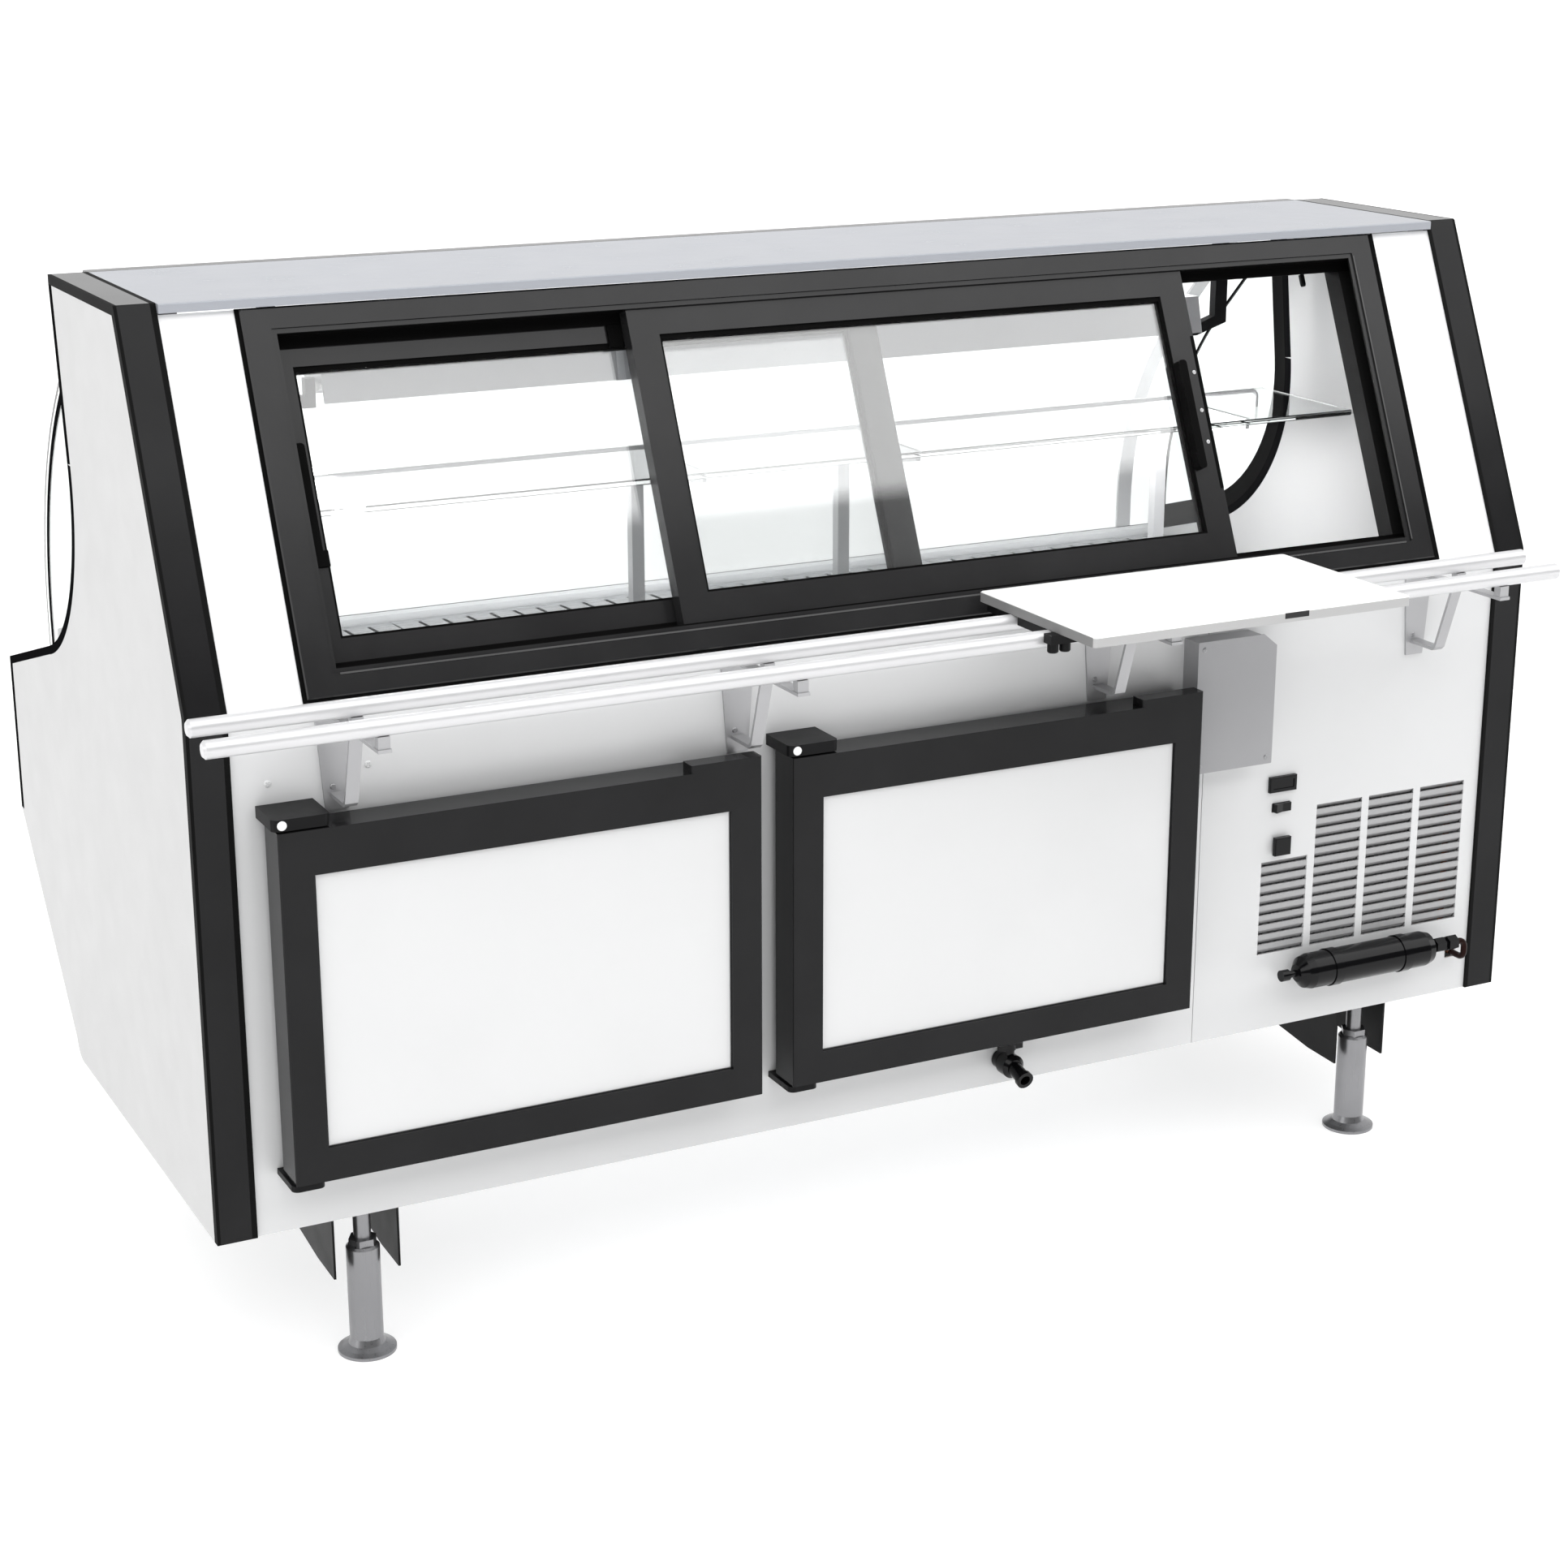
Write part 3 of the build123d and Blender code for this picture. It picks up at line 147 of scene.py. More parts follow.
def along(tree, direction, offset=0.0):
    """How far a point lies along a direction, in metres, less an offset."""
    node = tree.nodes.new("ShaderNodeVectorMath")
    node.operation = "DOT_PRODUCT"
    node.inputs[1].default_value = direction
    tree.links.new(object_place(tree), node.inputs[0])
    return calculate(tree, "SUBTRACT", node.outputs["Value"], offset)


def past(tree, direction, point, distance=0.0):
    """One where a point lies more than a distance past another along a direction, in metres."""
    return calculate(tree, "GREATER_THAN", along(tree, direction, direction.dot(point)), distance)


def reach(tree, centre):
    """Distance from an axis along the case through a (y, z) pair, in metres."""
    node = tree.nodes.new("ShaderNodeVectorMath")
    node.operation = "DISTANCE"
    node.inputs[1].default_value = at(0, *centre) * Vector((0, 1, 1))
    tree.links.new(object_place(tree, (0, 1, 1)), node.inputs[0])
    return node.outputs["Value"]


def inside_box(tree, low, high):
    """One inside a box between two corners in the row frame, nothing outside it."""
    place = tree.nodes.new("ShaderNodeSeparateXYZ")
    tree.links.new(object_place(tree), place.inputs["Vector"])
    x, y, z = (between(tree, *limits) for limits in zip(place.outputs, low, high))
    return both(tree, both(tree, x, y), z)


def blend(tree, factor, first, second):
    """Mixes two colours by a signal."""
    node = tree.nodes.new("ShaderNodeMix")
    node.data_type = "RGBA"
    tree.links.new(factor, node.inputs["Factor"])
    for socket, value in ((node.inputs["A"], first), (node.inputs["B"], second)):
        if isinstance(value, tuple):
            socket.default_value = (*value, 1)
        else:
            tree.links.new(value, socket)
    return node.outputs["Result"]


# ---------------------------------------------------------------- kinds of finish
EDGING = (0.006, 0.006, 0.0065)
# Black of the trim bands; on the window frame it is painted shade.
BAND_BLACK = (0.0015, 0.0015, 0.0015)
FINE_SCALE, SCUFF_SCALE = 900.0, 18.0               # noise of the solid finishes
SCRATCH_SCALE, MARK_SCALE = 240.0, 6.0              # noise of the anodised trim and of the glass
BUMP_STRENGTH = 0.3
FINE_BUMP, SCRATCH_BUMP = 0.00001, 0.000004         # heights in metres


def add_bump(tree, shader, height, distance):
    """Joins a height signal to the shader's normal."""
    bump = tree.nodes.new("ShaderNodeBump")
    bump.inputs["Strength"].default_value = BUMP_STRENGTH
    bump.inputs["Distance"].default_value = distance
    tree.links.new(height, bump.inputs["Height"])
    tree.links.new(bump.outputs["Normal"], shader.inputs["Normal"])


def coat(name, colour, roughness, metallic=0.0, wear=0.05, grain=(1, 1, 1), gloss=0.5,
         soil_scale=5.0, patches=(), edging=None):
    """A solid finish with broad soiling, scuffs in its gloss and a fine surface texture.

    Each patch, (low corner, high corner, colour), recolours the surface inside a box, and a later
    one covers an earlier one. Edging is a function that makes the mask of a black edge band.
    """
    material, tree, shader = new_material(name)
    shader.inputs["Metallic"].default_value = metallic
    shader.inputs["Specular IOR Level"].default_value = gloss
    soil = spread(tree, noise(tree, soil_scale, 6.0), 0.0, 1.0, 0.4, 0.75)
    worn = tuple(c * (1 - wear) for c in colour)
    base = blend(tree, soil, colour, worn)
    for low, high, shade in patches:
        base = blend(tree, inside_box(tree, low, high), base, shade)
    if edging:
        band = edging(tree)
        base = blend(tree, band, base, EDGING)
        sheen = calculate(tree, "MULTIPLY", without(tree, band), gloss)
        tree.links.new(sheen, shader.inputs["Specular IOR Level"])
    tree.links.new(base, shader.inputs["Base Color"])
    fine = noise(tree, FINE_SCALE, 3.0, grain)
    scuffs = noise(tree, SCUFF_SCALE, 5.0, grain)
    rough = calculate(tree, "ADD", spread(tree, fine, -0.06, 0.06), spread(tree, scuffs, 0.9, 1.12))
    tree.links.new(calculate(tree, "MULTIPLY", rough, roughness), shader.inputs["Roughness"])
    add_bump(tree, shader, fine, FINE_BUMP)
    return material


def clear_glass(name, colour, ior=1.45, coat_ior=None, haze=0.0, edging=None):
    """Pane glass with faint wiping marks in its gloss, and a black edge band if it has edging."""
    material, tree, shader = new_material(name)
    shader.inputs["Base Color"].default_value = (*colour, 1)
    shader.inputs["Transmission Weight"].default_value = 1.0 - haze
    shader.inputs["IOR"].default_value = ior
    if edging:
        band = edging(tree)
        clear = without(tree, band)
        tree.links.new(blend(tree, band, colour, EDGING), shader.inputs["Base Color"])
        tree.links.new(clear, shader.inputs["Transmission Weight"])
        tree.links.new(calculate(tree, "MULTIPLY", clear, 0.5), shader.inputs["Specular IOR Level"])
    if coat_ior:
        shader.inputs["Coat Weight"].default_value = 1.0
        shader.inputs["Coat IOR"].default_value = coat_ior
        shader.inputs["Coat Roughness"].default_value = 0.02
    marks = noise(tree, MARK_SCALE, 5.0, (1, 1, 3))
    tree.links.new(spread(tree, marks, 0.0, 0.02), shader.inputs["Roughness"])
    return material


def banded_trim(name, bands=(), colour=(0.015, 0.015, 0.0155), gloss=0.28):
    """Satin anodised trim whose bands, (direction, from, to) in metres, are painted black and dull; on
    the window frame the band is painted shade.
    """
    material, tree, shader = new_material(name)
    shader.inputs["Specular IOR Level"].default_value = gloss
    scratch = noise(tree, SCRATCH_SCALE, 4.0, (1, 14, 14))
    soil = spread(tree, noise(tree, 7.0, 6.0), 0.85, 1.25)
    base = blend(tree, spread(tree, noise(tree, 9.0, 5.0), 0.0, 1.0), colour,
                 tuple(c * 1.35 for c in colour))
    rough = calculate(tree, "MULTIPLY", spread(tree, scratch, 0.11, 0.15), soil)
    for direction, low, high in bands:
        band = between(tree, along(tree, direction), low, high)
        base = blend(tree, band, base, BAND_BLACK)
        rough = calculate(tree, "ADD", rough, calculate(tree, "MULTIPLY", band, 0.6))
    tree.links.new(base, shader.inputs["Base Color"])
    tree.links.new(rough, shader.inputs["Roughness"])
    add_bump(tree, shader, scratch, SCRATCH_BUMP)
    return material


# ---------------------------------------------------------------- black edge bands
# Corners of an end panel's customer side, with the circle of its scoop, as (y, z) pairs.
SHOULDER = (500.0, 1066.0)
SCOOP_TOP = (470.0, 850.0)
LEDGE_BACK = (645.0, 580.0)
LEDGE_FRONT = (898.0, 507.0)
BUMPER_FOOT = (898.0, 289.0)
SCOOP_CENTRE, SCOOP_R = (715.944, 817.695), 248.057
PANEL_RUNS = ((SHOULDER, SCOOP_TOP, 15), (LEDGE_BACK, LEDGE_FRONT, 11),
              (LEDGE_FRONT, BUMPER_FOOT, 15))
SCOOP_BAND, SCOOP_SWELL = 10.0, 5.0     # least width of the band, and its gain towards the waist

# Outer edge of an end pane: a straight run, an arc and an upright foot.
PANE_CENTRE, PANE_R = (372, 569), 445.6
PANE_BEND = math.radians(45.3)          # where the straight run meets the arc
LEFT_BAND, RIGHT_BAND = 13.0, 4.0


def run_mask(tree, start, end, width):
    """One within a width to the right of a straight run between two (y, z) pairs."""
    first, last = at(0, *start), at(0, *end)
    course = (last - first).normalized()
    inward = Vector((0, course.z, -course.y))
    depth = along(tree, inward, inward.dot(first) + width / 1000)
    run = along(tree, course, course.dot(first))
    return both(tree, calculate(tree, "LESS_THAN", depth, 0.0),
                between(tree, run, 0.0, (last - first).length))


def panel_edging(tree):
    """Mask of the band down the scoop, along the ledge and down the bumper face of an end panel."""
    centre = (SCOOP_CENTRE[0] - SCOOP_SWELL, SCOOP_CENTRE[1])
    near = calculate(tree, "LESS_THAN", reach(tree, centre), (SCOOP_R + SCOOP_BAND) / 1000)
    low = at(-10, SCOOP_TOP[0] - 30, LEDGE_BACK[1] - 15)
    high = at(LENGTH + 10, LEDGE_BACK[0] + 0.5, SCOOP_TOP[1])
    band = both(tree, near, inside_box(tree, low, high))
    for start, end, width in PANEL_RUNS:
        band = either(tree, band, run_mask(tree, start, end, width))
    return band


def pane_edging(tree):
    """Mask of the band where an end pane meets the curved glass."""
    centre = at(0, *PANE_CENTRE)
    left = calculate(tree, "LESS_THAN", along(tree, ALONG), at(LENGTH / 2, 0, 0).x)
    inner = calculate(tree, "SUBTRACT", (PANE_R - RIGHT_BAND) / 1000,
                      calculate(tree, "MULTIPLY", left, (LEFT_BAND - RIGHT_BAND) / 1000))
    out = Vector((0, math.cos(PANE_BEND), math.sin(PANE_BEND)))
    tangent = Vector((0, -out.z, out.y))
    past_bend = past(tree, tangent, centre)
    on_arc = both(tree, past(tree, UP, centre), without(tree, past_bend))
    arc = calculate(tree, "GREATER_THAN", reach(tree, PANE_CENTRE), inner)
    band = either(tree, both(tree, arc, on_arc),
                  both(tree, past(tree, out, centre, inner), past_bend))
    return either(tree, band, past(tree, CUSTOMER, centre, inner))


# ---------------------------------------------------------------- patches of painted shade and of another colour
LOUVRES = [(1482 + 89 * column, 317 if column else 246) for column in range(4)]    # left edge, top
LOUVRE_W, LOUVRE_FOOT = 77, 111
# Painted shade over the louvre columns of the machine cover.
LOUVRE_SHADE = [
    (at(x, -1, LOUVRE_FOOT), at(x + LOUVRE_W, 20, top), (0.36, 0.36, 0.365)) for x, top in LOUVRES
]

# Painted shade on the board's edges, darkest on the left, and the black pad on its service edge.
BOARD_LOW, BOARD_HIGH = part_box("cutting_board")
MARGIN = 0.01
BOARD_NEAR = BOARD_LOW - Vector((MARGIN, MARGIN, MARGIN))
BOARD_FAR = BOARD_HIGH + Vector((MARGIN, MARGIN, MARGIN))
BOARD_EDGE_SHADE_AND_PAD = [
    (BOARD_NEAR, Vector((BOARD_FAR.x, BOARD_FAR.y, BOARD_HIGH.z - 0.0013)), (0.42, 0.42, 0.42)),
    (BOARD_NEAR, Vector((BOARD_LOW.x + 0.0005, BOARD_FAR.y, BOARD_FAR.z)), (0.22, 0.22, 0.22)),
    (at(1295, -281, 672), at(1331, -270.5, 679.2), EDGING),
]

# The end panels' faces inside the display, with painted shade below the shelf, where the display lights
# are close.
SHELF_Z = (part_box("display_shelf")[0].z - ORIGIN.z) * 1000
LINER_NEAR = at(48, 44, 470)
LINER_TONE_AND_SHADE = [
    (LINER_NEAR, at(LENGTH - 48, 800, 1070), (0.54, 0.54, 0.54)),
    (LINER_NEAR, at(LENGTH - 48, 800, SHELF_Z), (0.47, 0.47, 0.47)),
]

# The liquid line's stretch outside the cabinet, painted dark.
PAINTED_PIPE = [(at(1400, -200, 0), at(1900, 2, 400), (0.02, 0.01, 0.009))]

# Black bands along the edges of the two end caps, and painted shade over all of the window frame that
# lies behind the white skin.
CAP_LEFT, CAP_RIGHT = (corner.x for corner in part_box("end_trims"))
CAP_W = 0.049
CAP_BANDS = [(ALONG, low, high) for low, high in (
    (CAP_LEFT - 0.001, CAP_LEFT + 0.004),
    (CAP_LEFT + CAP_W - 0.007, CAP_LEFT + CAP_W + 0.1),
    (CAP_RIGHT - CAP_W - 0.1, CAP_RIGHT - CAP_W + 0.005),
    (CAP_RIGHT - 0.004, CAP_RIGHT + 0.001),
)]
SKIN_LEVEL = lean(0, 0, 0).dot(SLOPE_OUT)
# Painted shade: the window frame's parts deeper than the white skin are painted black.
WINDOW_RECESS_SHADE = [(SLOPE_OUT, SKIN_LEVEL - 0.2, SKIN_LEVEL - 0.0004)]

# ---------------------------------------------------------------- finishes
WHITE = coat("white enamel", (0.86, 0.865, 0.87), 0.30, wear=0.02)
WALL_WHITE = coat("white wall enamel", (0.65, 0.654, 0.658), 0.34, wear=0.03)
COVER_WHITE = coat("machine cover enamel", (0.65, 0.654, 0.658), 0.34, wear=0.03,
                   patches=LOUVRE_SHADE)
DOOR_WHITE = coat("door enamel", (0.66, 0.663, 0.666), 0.36, wear=0.03)
END_WHITE = coat("grey white skin", (0.55, 0.55, 0.55), 0.42, wear=0.04, patches=LINER_TONE_AND_SHADE,
                 edging=panel_edging)
TOP_WHITE = coat("top enamel", (0.345, 0.36, 0.395), 0.24, wear=0.06, soil_scale=2.0)
LINER = coat("liner", (0.72, 0.73, 0.74), 0.4, wear=0.06)
BOARD = coat("cutting board", (0.86, 0.86, 0.85), 0.5, wear=0.03, patches=BOARD_EDGE_SHADE_AND_PAD)
BOX_GREY = coat("box grey", (0.33, 0.33, 0.34), 0.38, wear=0.06)
LAMP = coat("lamp tube", (0.95, 0.95, 0.92), 0.2, wear=0.02)

DEEP_BLACK = (0.010, 0.010, 0.0105)
TRIM = banded_trim("dark anodised")
WINDOW_TRIM = banded_trim("window trim", WINDOW_RECESS_SHADE)
CAP_TRIM = banded_trim("cap trim", CAP_BANDS, DEEP_BLACK, 0.15)
STORE_TRIM = banded_trim("store door trim", (), DEEP_BLACK, 0.15)
# Painted highlight: a lighter trim colour for the sill and jamb edges, where they catch the light.
PAINTED_HIGHLIGHT_TRIM = coat("painted highlight trim edge", (0.07, 0.07, 0.07), 0.3, wear=0.2, gloss=0.4)
BLACK = coat("black plastic", (0.004, 0.004, 0.0045), 0.4, wear=0.2, gloss=0.15)
GLOSS_BLACK = coat("gloss black", (0.003, 0.003, 0.0035), 0.14, wear=0.1, gloss=0.22)
RUBBER = coat("black rubber", (0.003, 0.003, 0.003), 0.75, wear=0.25, gloss=0.05)

STEEL = coat("brushed steel", (0.62, 0.63, 0.64), 0.28, 1.0, wear=0.08, grain=(1, 20, 20))
ALUMINIUM = coat("mill aluminium", (0.62, 0.63, 0.64), 0.35, 1.0, wear=0.12, grain=(1, 1, 14))
GREY_METAL = coat("zinc plated steel", (0.42, 0.42, 0.43), 0.38, 1.0, wear=0.2)
LEG_STEEL = coat("leg steel", (0.30, 0.30, 0.31), 0.30, 0.9, wear=0.2, grain=(20, 20, 1))
PALE_METAL = coat("pale metal", (0.66, 0.66, 0.67), 0.32, 0.35, wear=0.05)
BRACKET_METAL = coat("bracket metal", (0.42, 0.42, 0.43), 0.35, 0.5, wear=0.08)
COPPER = coat("copper", (0.72, 0.30, 0.17), 0.28, 1.0, wear=0.35, soil_scale=30.0,
              patches=PAINTED_PIPE)

PANE = clear_glass("pane glass", (0.97, 0.985, 0.982))
END_PANE = clear_glass("end pane", (0.93, 0.97, 0.96), edging=pane_edging)
SHELF_GLASS = clear_glass("shelf glass", (0.97, 0.985, 0.982))
DOOR_GLASS = clear_glass("door glass", (0.97, 0.98, 0.98), 1.3, coat_ior=1.8, haze=0.03)

FINISHES = {
    "end_panel_left": END_WHITE, "end_panel_right": END_WHITE, "end_trims": CAP_TRIM,
    "top_panel": TOP_WHITE, "upper_rear_panel": WHITE, "rear_panel": WALL_WHITE,
    "machine_cover": COVER_WHITE, "front_lower_panel": WALL_WHITE, "front_bumper": TRIM,
    "front_glass": PANE, "end_glasses": END_PANE, "glass_supports": PALE_METAL,
    "top_glass_rail": TRIM, "window_frame": WINDOW_TRIM, "door_tracks": RUBBER,
    "outer_door_frame": TRIM, "outer_door_glass": DOOR_GLASS, "outer_door_handle": RUBBER,
    "inner_door_frame": TRIM, "inner_door_glass": DOOR_GLASS, "inner_door_handle": RUBBER,
    "storage_door_left_frame": STORE_TRIM, "storage_door_left_panel": DOOR_WHITE,
    "storage_door_left_gasket": RUBBER, "storage_door_right_frame": STORE_TRIM,
    "storage_door_right_panel": DOOR_WHITE, "storage_door_right_gasket": RUBBER,
    "door_hinges": BLACK, "storage_body": LINER, "display_tank": LINER, "deck_pans": STEEL,
    "lamp_housing": PALE_METAL, "lamp_tube": LAMP, "lamp_brackets": BLACK,
    "display_shelf": SHELF_GLASS, "shelf_supports": PALE_METAL, "evaporator_coil": ALUMINIUM,
    "evaporator_fan_blade": BLACK, "compressor": GLOSS_BLACK, "condenser_coil": ALUMINIUM,
    "condenser_fan_motor": GREY_METAL, "condenser_fan_blade": ALUMINIUM,
    "filter_drier": GLOSS_BLACK, "liquid_line": COPPER, "junction_box": BOX_GREY,
    "temperature_display": GLOSS_BLACK, "rocker_switch": GLOSS_BLACK,
    "push_button": GLOSS_BLACK, "drain_valve": GLOSS_BLACK, "drain_lever": GLOSS_BLACK,
    "board_rails": PALE_METAL, "rail_brackets": BRACKET_METAL, "cutting_board": BOARD,
    "board_saddles": BLACK, "base_rails": BLACK, "leg_tubes": LEG_STEEL,
    "foot_rear_left": LEG_STEEL, "foot_rear_right": LEG_STEEL,
    "foot_front_left": LEG_STEEL, "foot_front_right": LEG_STEEL,
}


def dress(obj, material):
    """Puts one material in every slot of an object."""
    if not obj.material_slots:
        obj.data.materials.append(material)
    for slot in obj.material_slots:
        slot.material = material


# ---------------------------------------------------------------- piece builders
def add_piece(name, shape, material, body, smooth=False):
    """Turns a bmesh in the row frame into a named piece that rides on a body."""
    bmesh.ops.recalc_face_normals(shape, faces=shape.faces)
    mesh = bpy.data.meshes.new(name)
    shape.to_mesh(mesh)
    shape.free()
    for face in mesh.polygons:
        face.use_smooth = smooth
    obj = bpy.data.objects.new(name, mesh)
    bpy.context.scene.collection.objects.link(obj)
    mesh.materials.append(material)
    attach(obj, body)
    return obj


def soften(shape, radius, steps=2):
    """Rounds every sharp edge of a shape."""
    edges = [e for e in shape.edges if len(e.link_faces) == 2 and e.calc_face_angle() > 0.5]
    bmesh.ops.bevel(shape, geom=edges, offset=radius / 1000, segments=steps, affect="EDGES",
                    profile=0.5, clamp_overlap=True)


def join_loops(shape, one, two):
    """Adds the band of faces between two closed loops of points."""
    count = len(one)
    for i in range(count):
        j = (i + 1) % count
        shape.faces.new((one[i], one[j], two[j], two[i]))


def block_into(shape, place, x, a, b):
    """Adds a box from three (low, high) pairs, laid out by a place function."""
    corners = [shape.verts.new(place(i, j, k)) for i in x for j in a for k in b]
    for face in ((0, 1, 3, 2), (4, 6, 7, 5), (0, 4, 5, 1), (2, 3, 7, 6), (0, 2, 6, 4), (1, 5, 7, 3)):
        shape.faces.new([corners[i] for i in face])


def prism_into(shape, outline, place, depth):
    """Adds a prism: an outline of (a, b) pairs between two depths, laid out by a place function."""
    ends = [[shape.verts.new(place(a, b, level)) for a, b in outline] for level in depth]
    join_loops(shape, *ends)
    for end in ends:
        shape.faces.new(end)


def upright(x, z, y):
    """Place of a prism whose outline lies in the service face."""
    return at(x, y, z)


def sideways(y, z, x):
    """Place of a prism whose outline is seen from the end of the case."""
    return at(x, y, z)


def turned(shape, place, axis, profile, steps=32, recess=None):
    """Adds a lathe form: (radius, height) pairs in mm about an axis through a place.

    A recess is the (reach, depth) of a cross sunk into the faces near the axis.
    """
    axis = Vector(axis).normalized()
    side = axis.orthogonal().normalized()
    other = axis.cross(side)
    rings = []
    for radius, height in profile:
        if radius == 0:
            rings.append([shape.verts.new(place + axis * height / 1000)])
            continue
        ring = []
        for i in range(steps):
            turn = 2 * math.pi * i / steps
            sunk = recess and radius < recess[0] and i % 8 in (0, 1, 7)
            lift = height - (recess[1] if sunk else 0)
            point = (side * math.cos(turn) + other * math.sin(turn)) * radius + axis * lift
            ring.append(shape.verts.new(place + point / 1000))
        rings.append(ring)
    for one, two in zip(rings, rings[1:]):
        for i in range(steps):
            j = (i + 1) % steps
            quad = [one[i % len(one)], one[j % len(one)], two[j % len(two)], two[i % len(two)]]
            corners = list(dict.fromkeys(quad))
            if len(corners) > 2:
                shape.faces.new(corners)


def trim_block(name, place, x, a, b, radius, material, body="case"):
    """One rounded bar."""
    shape = bmesh.new()
    block_into(shape, place, x, a, b)
    soften(shape, radius)
    return add_piece(name, shape, material, body)


def trim_ring(name, place, outer, inner, depth, radius, material, body="case"):
    """A closed rectangular ring: outer and inner are (low, high, low, high), depth a pair."""
    shape = bmesh.new()
    loops = []
    for (x0, x1, a0, a1), level in ((outer, depth[0]), (outer, depth[1]), (inner, depth[1]),
                                    (inner, depth[0])):
        corners = ((x0, a0), (x1, a0), (x1, a1), (x0, a1))
        loops.append([shape.verts.new(place(x, a, level)) for x, a in corners])
    for one, two in zip(loops, loops[1:] + loops[:1]):
        join_loops(shape, one, two)
    soften(shape, radius)
    return add_piece(name, shape, material, body)


def screws(name, places, axis, radius, material, body="case"):
    """A set of like pan-head screws with cross recesses, as one piece."""
    r = radius
    head = [(0, 0.42 * r), (0.2 * r, 0.42 * r), (0.38 * r, 0.41 * r), (0.55 * r, 0.38 * r),
            (0.62 * r, 0.36 * r), (0.82 * r, 0.26 * r), (0.96 * r, 0.10 * r), (r, -0.2), (0, -0.2)]
    shape = bmesh.new()
    for place in places:
        turned(shape, place, axis, head, recess=(0.56 * r, 0.28 * r))
    return add_piece(name, shape, material, body, smooth=True)


# ---------------------------------------------------------------- rail brackets and board saddles
RAIL_Y = (-81.0, -168.0)
BRACKET_X = (172.0, 684.0, 1204.0, 1720.0)
BRACKET_TOP, PLATE_FOOT = 628, 514
SADDLE_X = (1037.0, 1345.0)
SADDLE_Z = (656, 667.3)


def bracket_set():
    """Rail brackets: wall plate, bent arm, slim bar and a small cradle under each rail."""
    shape = bmesh.new()
    arm = [(1, 531), (-46, 531), (-52, 536), (-82, BRACKET_TOP), (-77.5, BRACKET_TOP), (-49, 540),
           (-44, 535.5), (1, 535.5)]
    for x in BRACKET_X:
        plate = [(x - 22, BRACKET_TOP), (x + 22, BRACKET_TOP), (x + 14, PLATE_FOOT),
                 (x - 14, PLATE_FOOT)]
        prism_into(shape, plate, upright, (1, 4))
        prism_into(shape, arm, sideways, (x - 8, x + 8))
        block_into(shape, at, (x - 8, x + 8), (-176, 3.5), (BRACKET_TOP, BRACKET_TOP + 4))
        for y in RAIL_Y:
            block_into(shape, at, (x - 7, x + 7), (y - 6, y + 6), (BRACKET_TOP + 3, 646.2))
    soften(shape, 0.7, 1)
    return add_piece("bracket_set", shape, BRACKET_METAL, "case")


def saddle_set():
    """Board saddles: short pads either side of the rails, and two clamp knobs before the outer one."""
    shape = bmesh.new()
    for x in SADDLE_X:
        block_into(shape, at, (x - 11, x + 11), (-66, -14), SADDLE_Z)
        block_into(shape, at, (x - 15, x + 15), (-156, -94), SADDLE_Z)
        block_into(shape, at, (x - 31, x + 9), (-198, -181), SADDLE_Z)
    soften(shape, 3.0, 3)
    knob = [(0, 0), (5.8, 0), (7.0, -1.5), (7.0, -11), (5.8, -12.6), (0, -13)]
    for x in SADDLE_X:
        for knob_x in (x - 23, x - 6):
            turned(shape, at(knob_x, -189.5, SADDLE_Z[0] + 1), UP, knob, 24)
    return add_piece("saddle_set", shape, BLACK, "board")


# ---------------------------------------------------------------- window and sliding doors
SLIDER_W, STILE_W = 808, 39
OPENING_S = (74.4, 397.0)                           # a sliding door's glazed opening
OUTER_DOOR_X, INNER_DOOR_X = 622.0, 165.0           # left edges of the doors at rest
OUTER_DOOR_N, INNER_DOOR_N = (-24.0, -4.0), (-49.0, -29.0)
INNER_TRIM_N = (-29.2, -24.9)                       # rubber parts on the inner door's face


def window_trim():
    """Painted highlights where the edges of the sill and the right jamb catch the light, and the
    frame's seal.
    """
    trim_block("sill_edge", lean, (186, 1702), (28.6, 30.6), (1.5, 2.5), 0.3, PAINTED_HIGHLIGHT_TRIM)
    trim_block("jamb_edge", lean, (1711.4, 1713.2), (33, 432), (1.5, 2.4), 0.3, PAINTED_HIGHLIGHT_TRIM)
    trim_ring("window_seal", lean, (138, 1754, 0.6, 462.5), (144.5, 1743.5, 5.5, 459.5),
              (-3.2, -1.2), 0.6, RUBBER)


def door_beads(side, left, depth, body):
    """Glazing beads on both faces of a sliding door's glass."""
    x0, x1 = left + STILE_W, left + SLIDER_W - STILE_W
    s0, s1 = OPENING_S
    middle = sum(depth) / 2
    inner = (x0 + 3, x1 - 3, s0 + 3, s1 - 6)
    outer = (x0 - 0.2, x1 + 0.2, s0 - 0.2, s1 + 0.2)
    for face, levels in (("out", (middle + 2.4, middle + 8.0)), ("in", (middle - 8.0, middle - 2.4))):
        trim_ring(f"{side}_bead_{face}", lean, outer, inner, levels, 0.8, RUBBER, body)


def outer_door_lock():
    """Black lock strip with its three screws, on the outer door's right stile."""
    trim_block("outer_lock_strip", lean, (1425.5, 1430), (132, 340), (-4.4, -3.2), 0.4, RUBBER,
               "outer_door")
    screws("outer_lock_screws", [lean(1420.5, s, -4.75) for s in (196, 239, 291)], SLOPE_OUT, 3.2,
           PALE_METAL, "outer_door")


def inner_door_trim():
    """Rounded finger tip at the foot of the inner pull, and a stop block on the top rail."""
    trim_block("inner_pull_tip", lean, (195, 206), (159, 178), INNER_TRIM_N, 2.0, RUBBER,
               "inner_door")
    trim_block("inner_door_stop", lean, (603, 621), (391, 418.6), INNER_TRIM_N, 2.0, RUBBER,
               "inner_door")


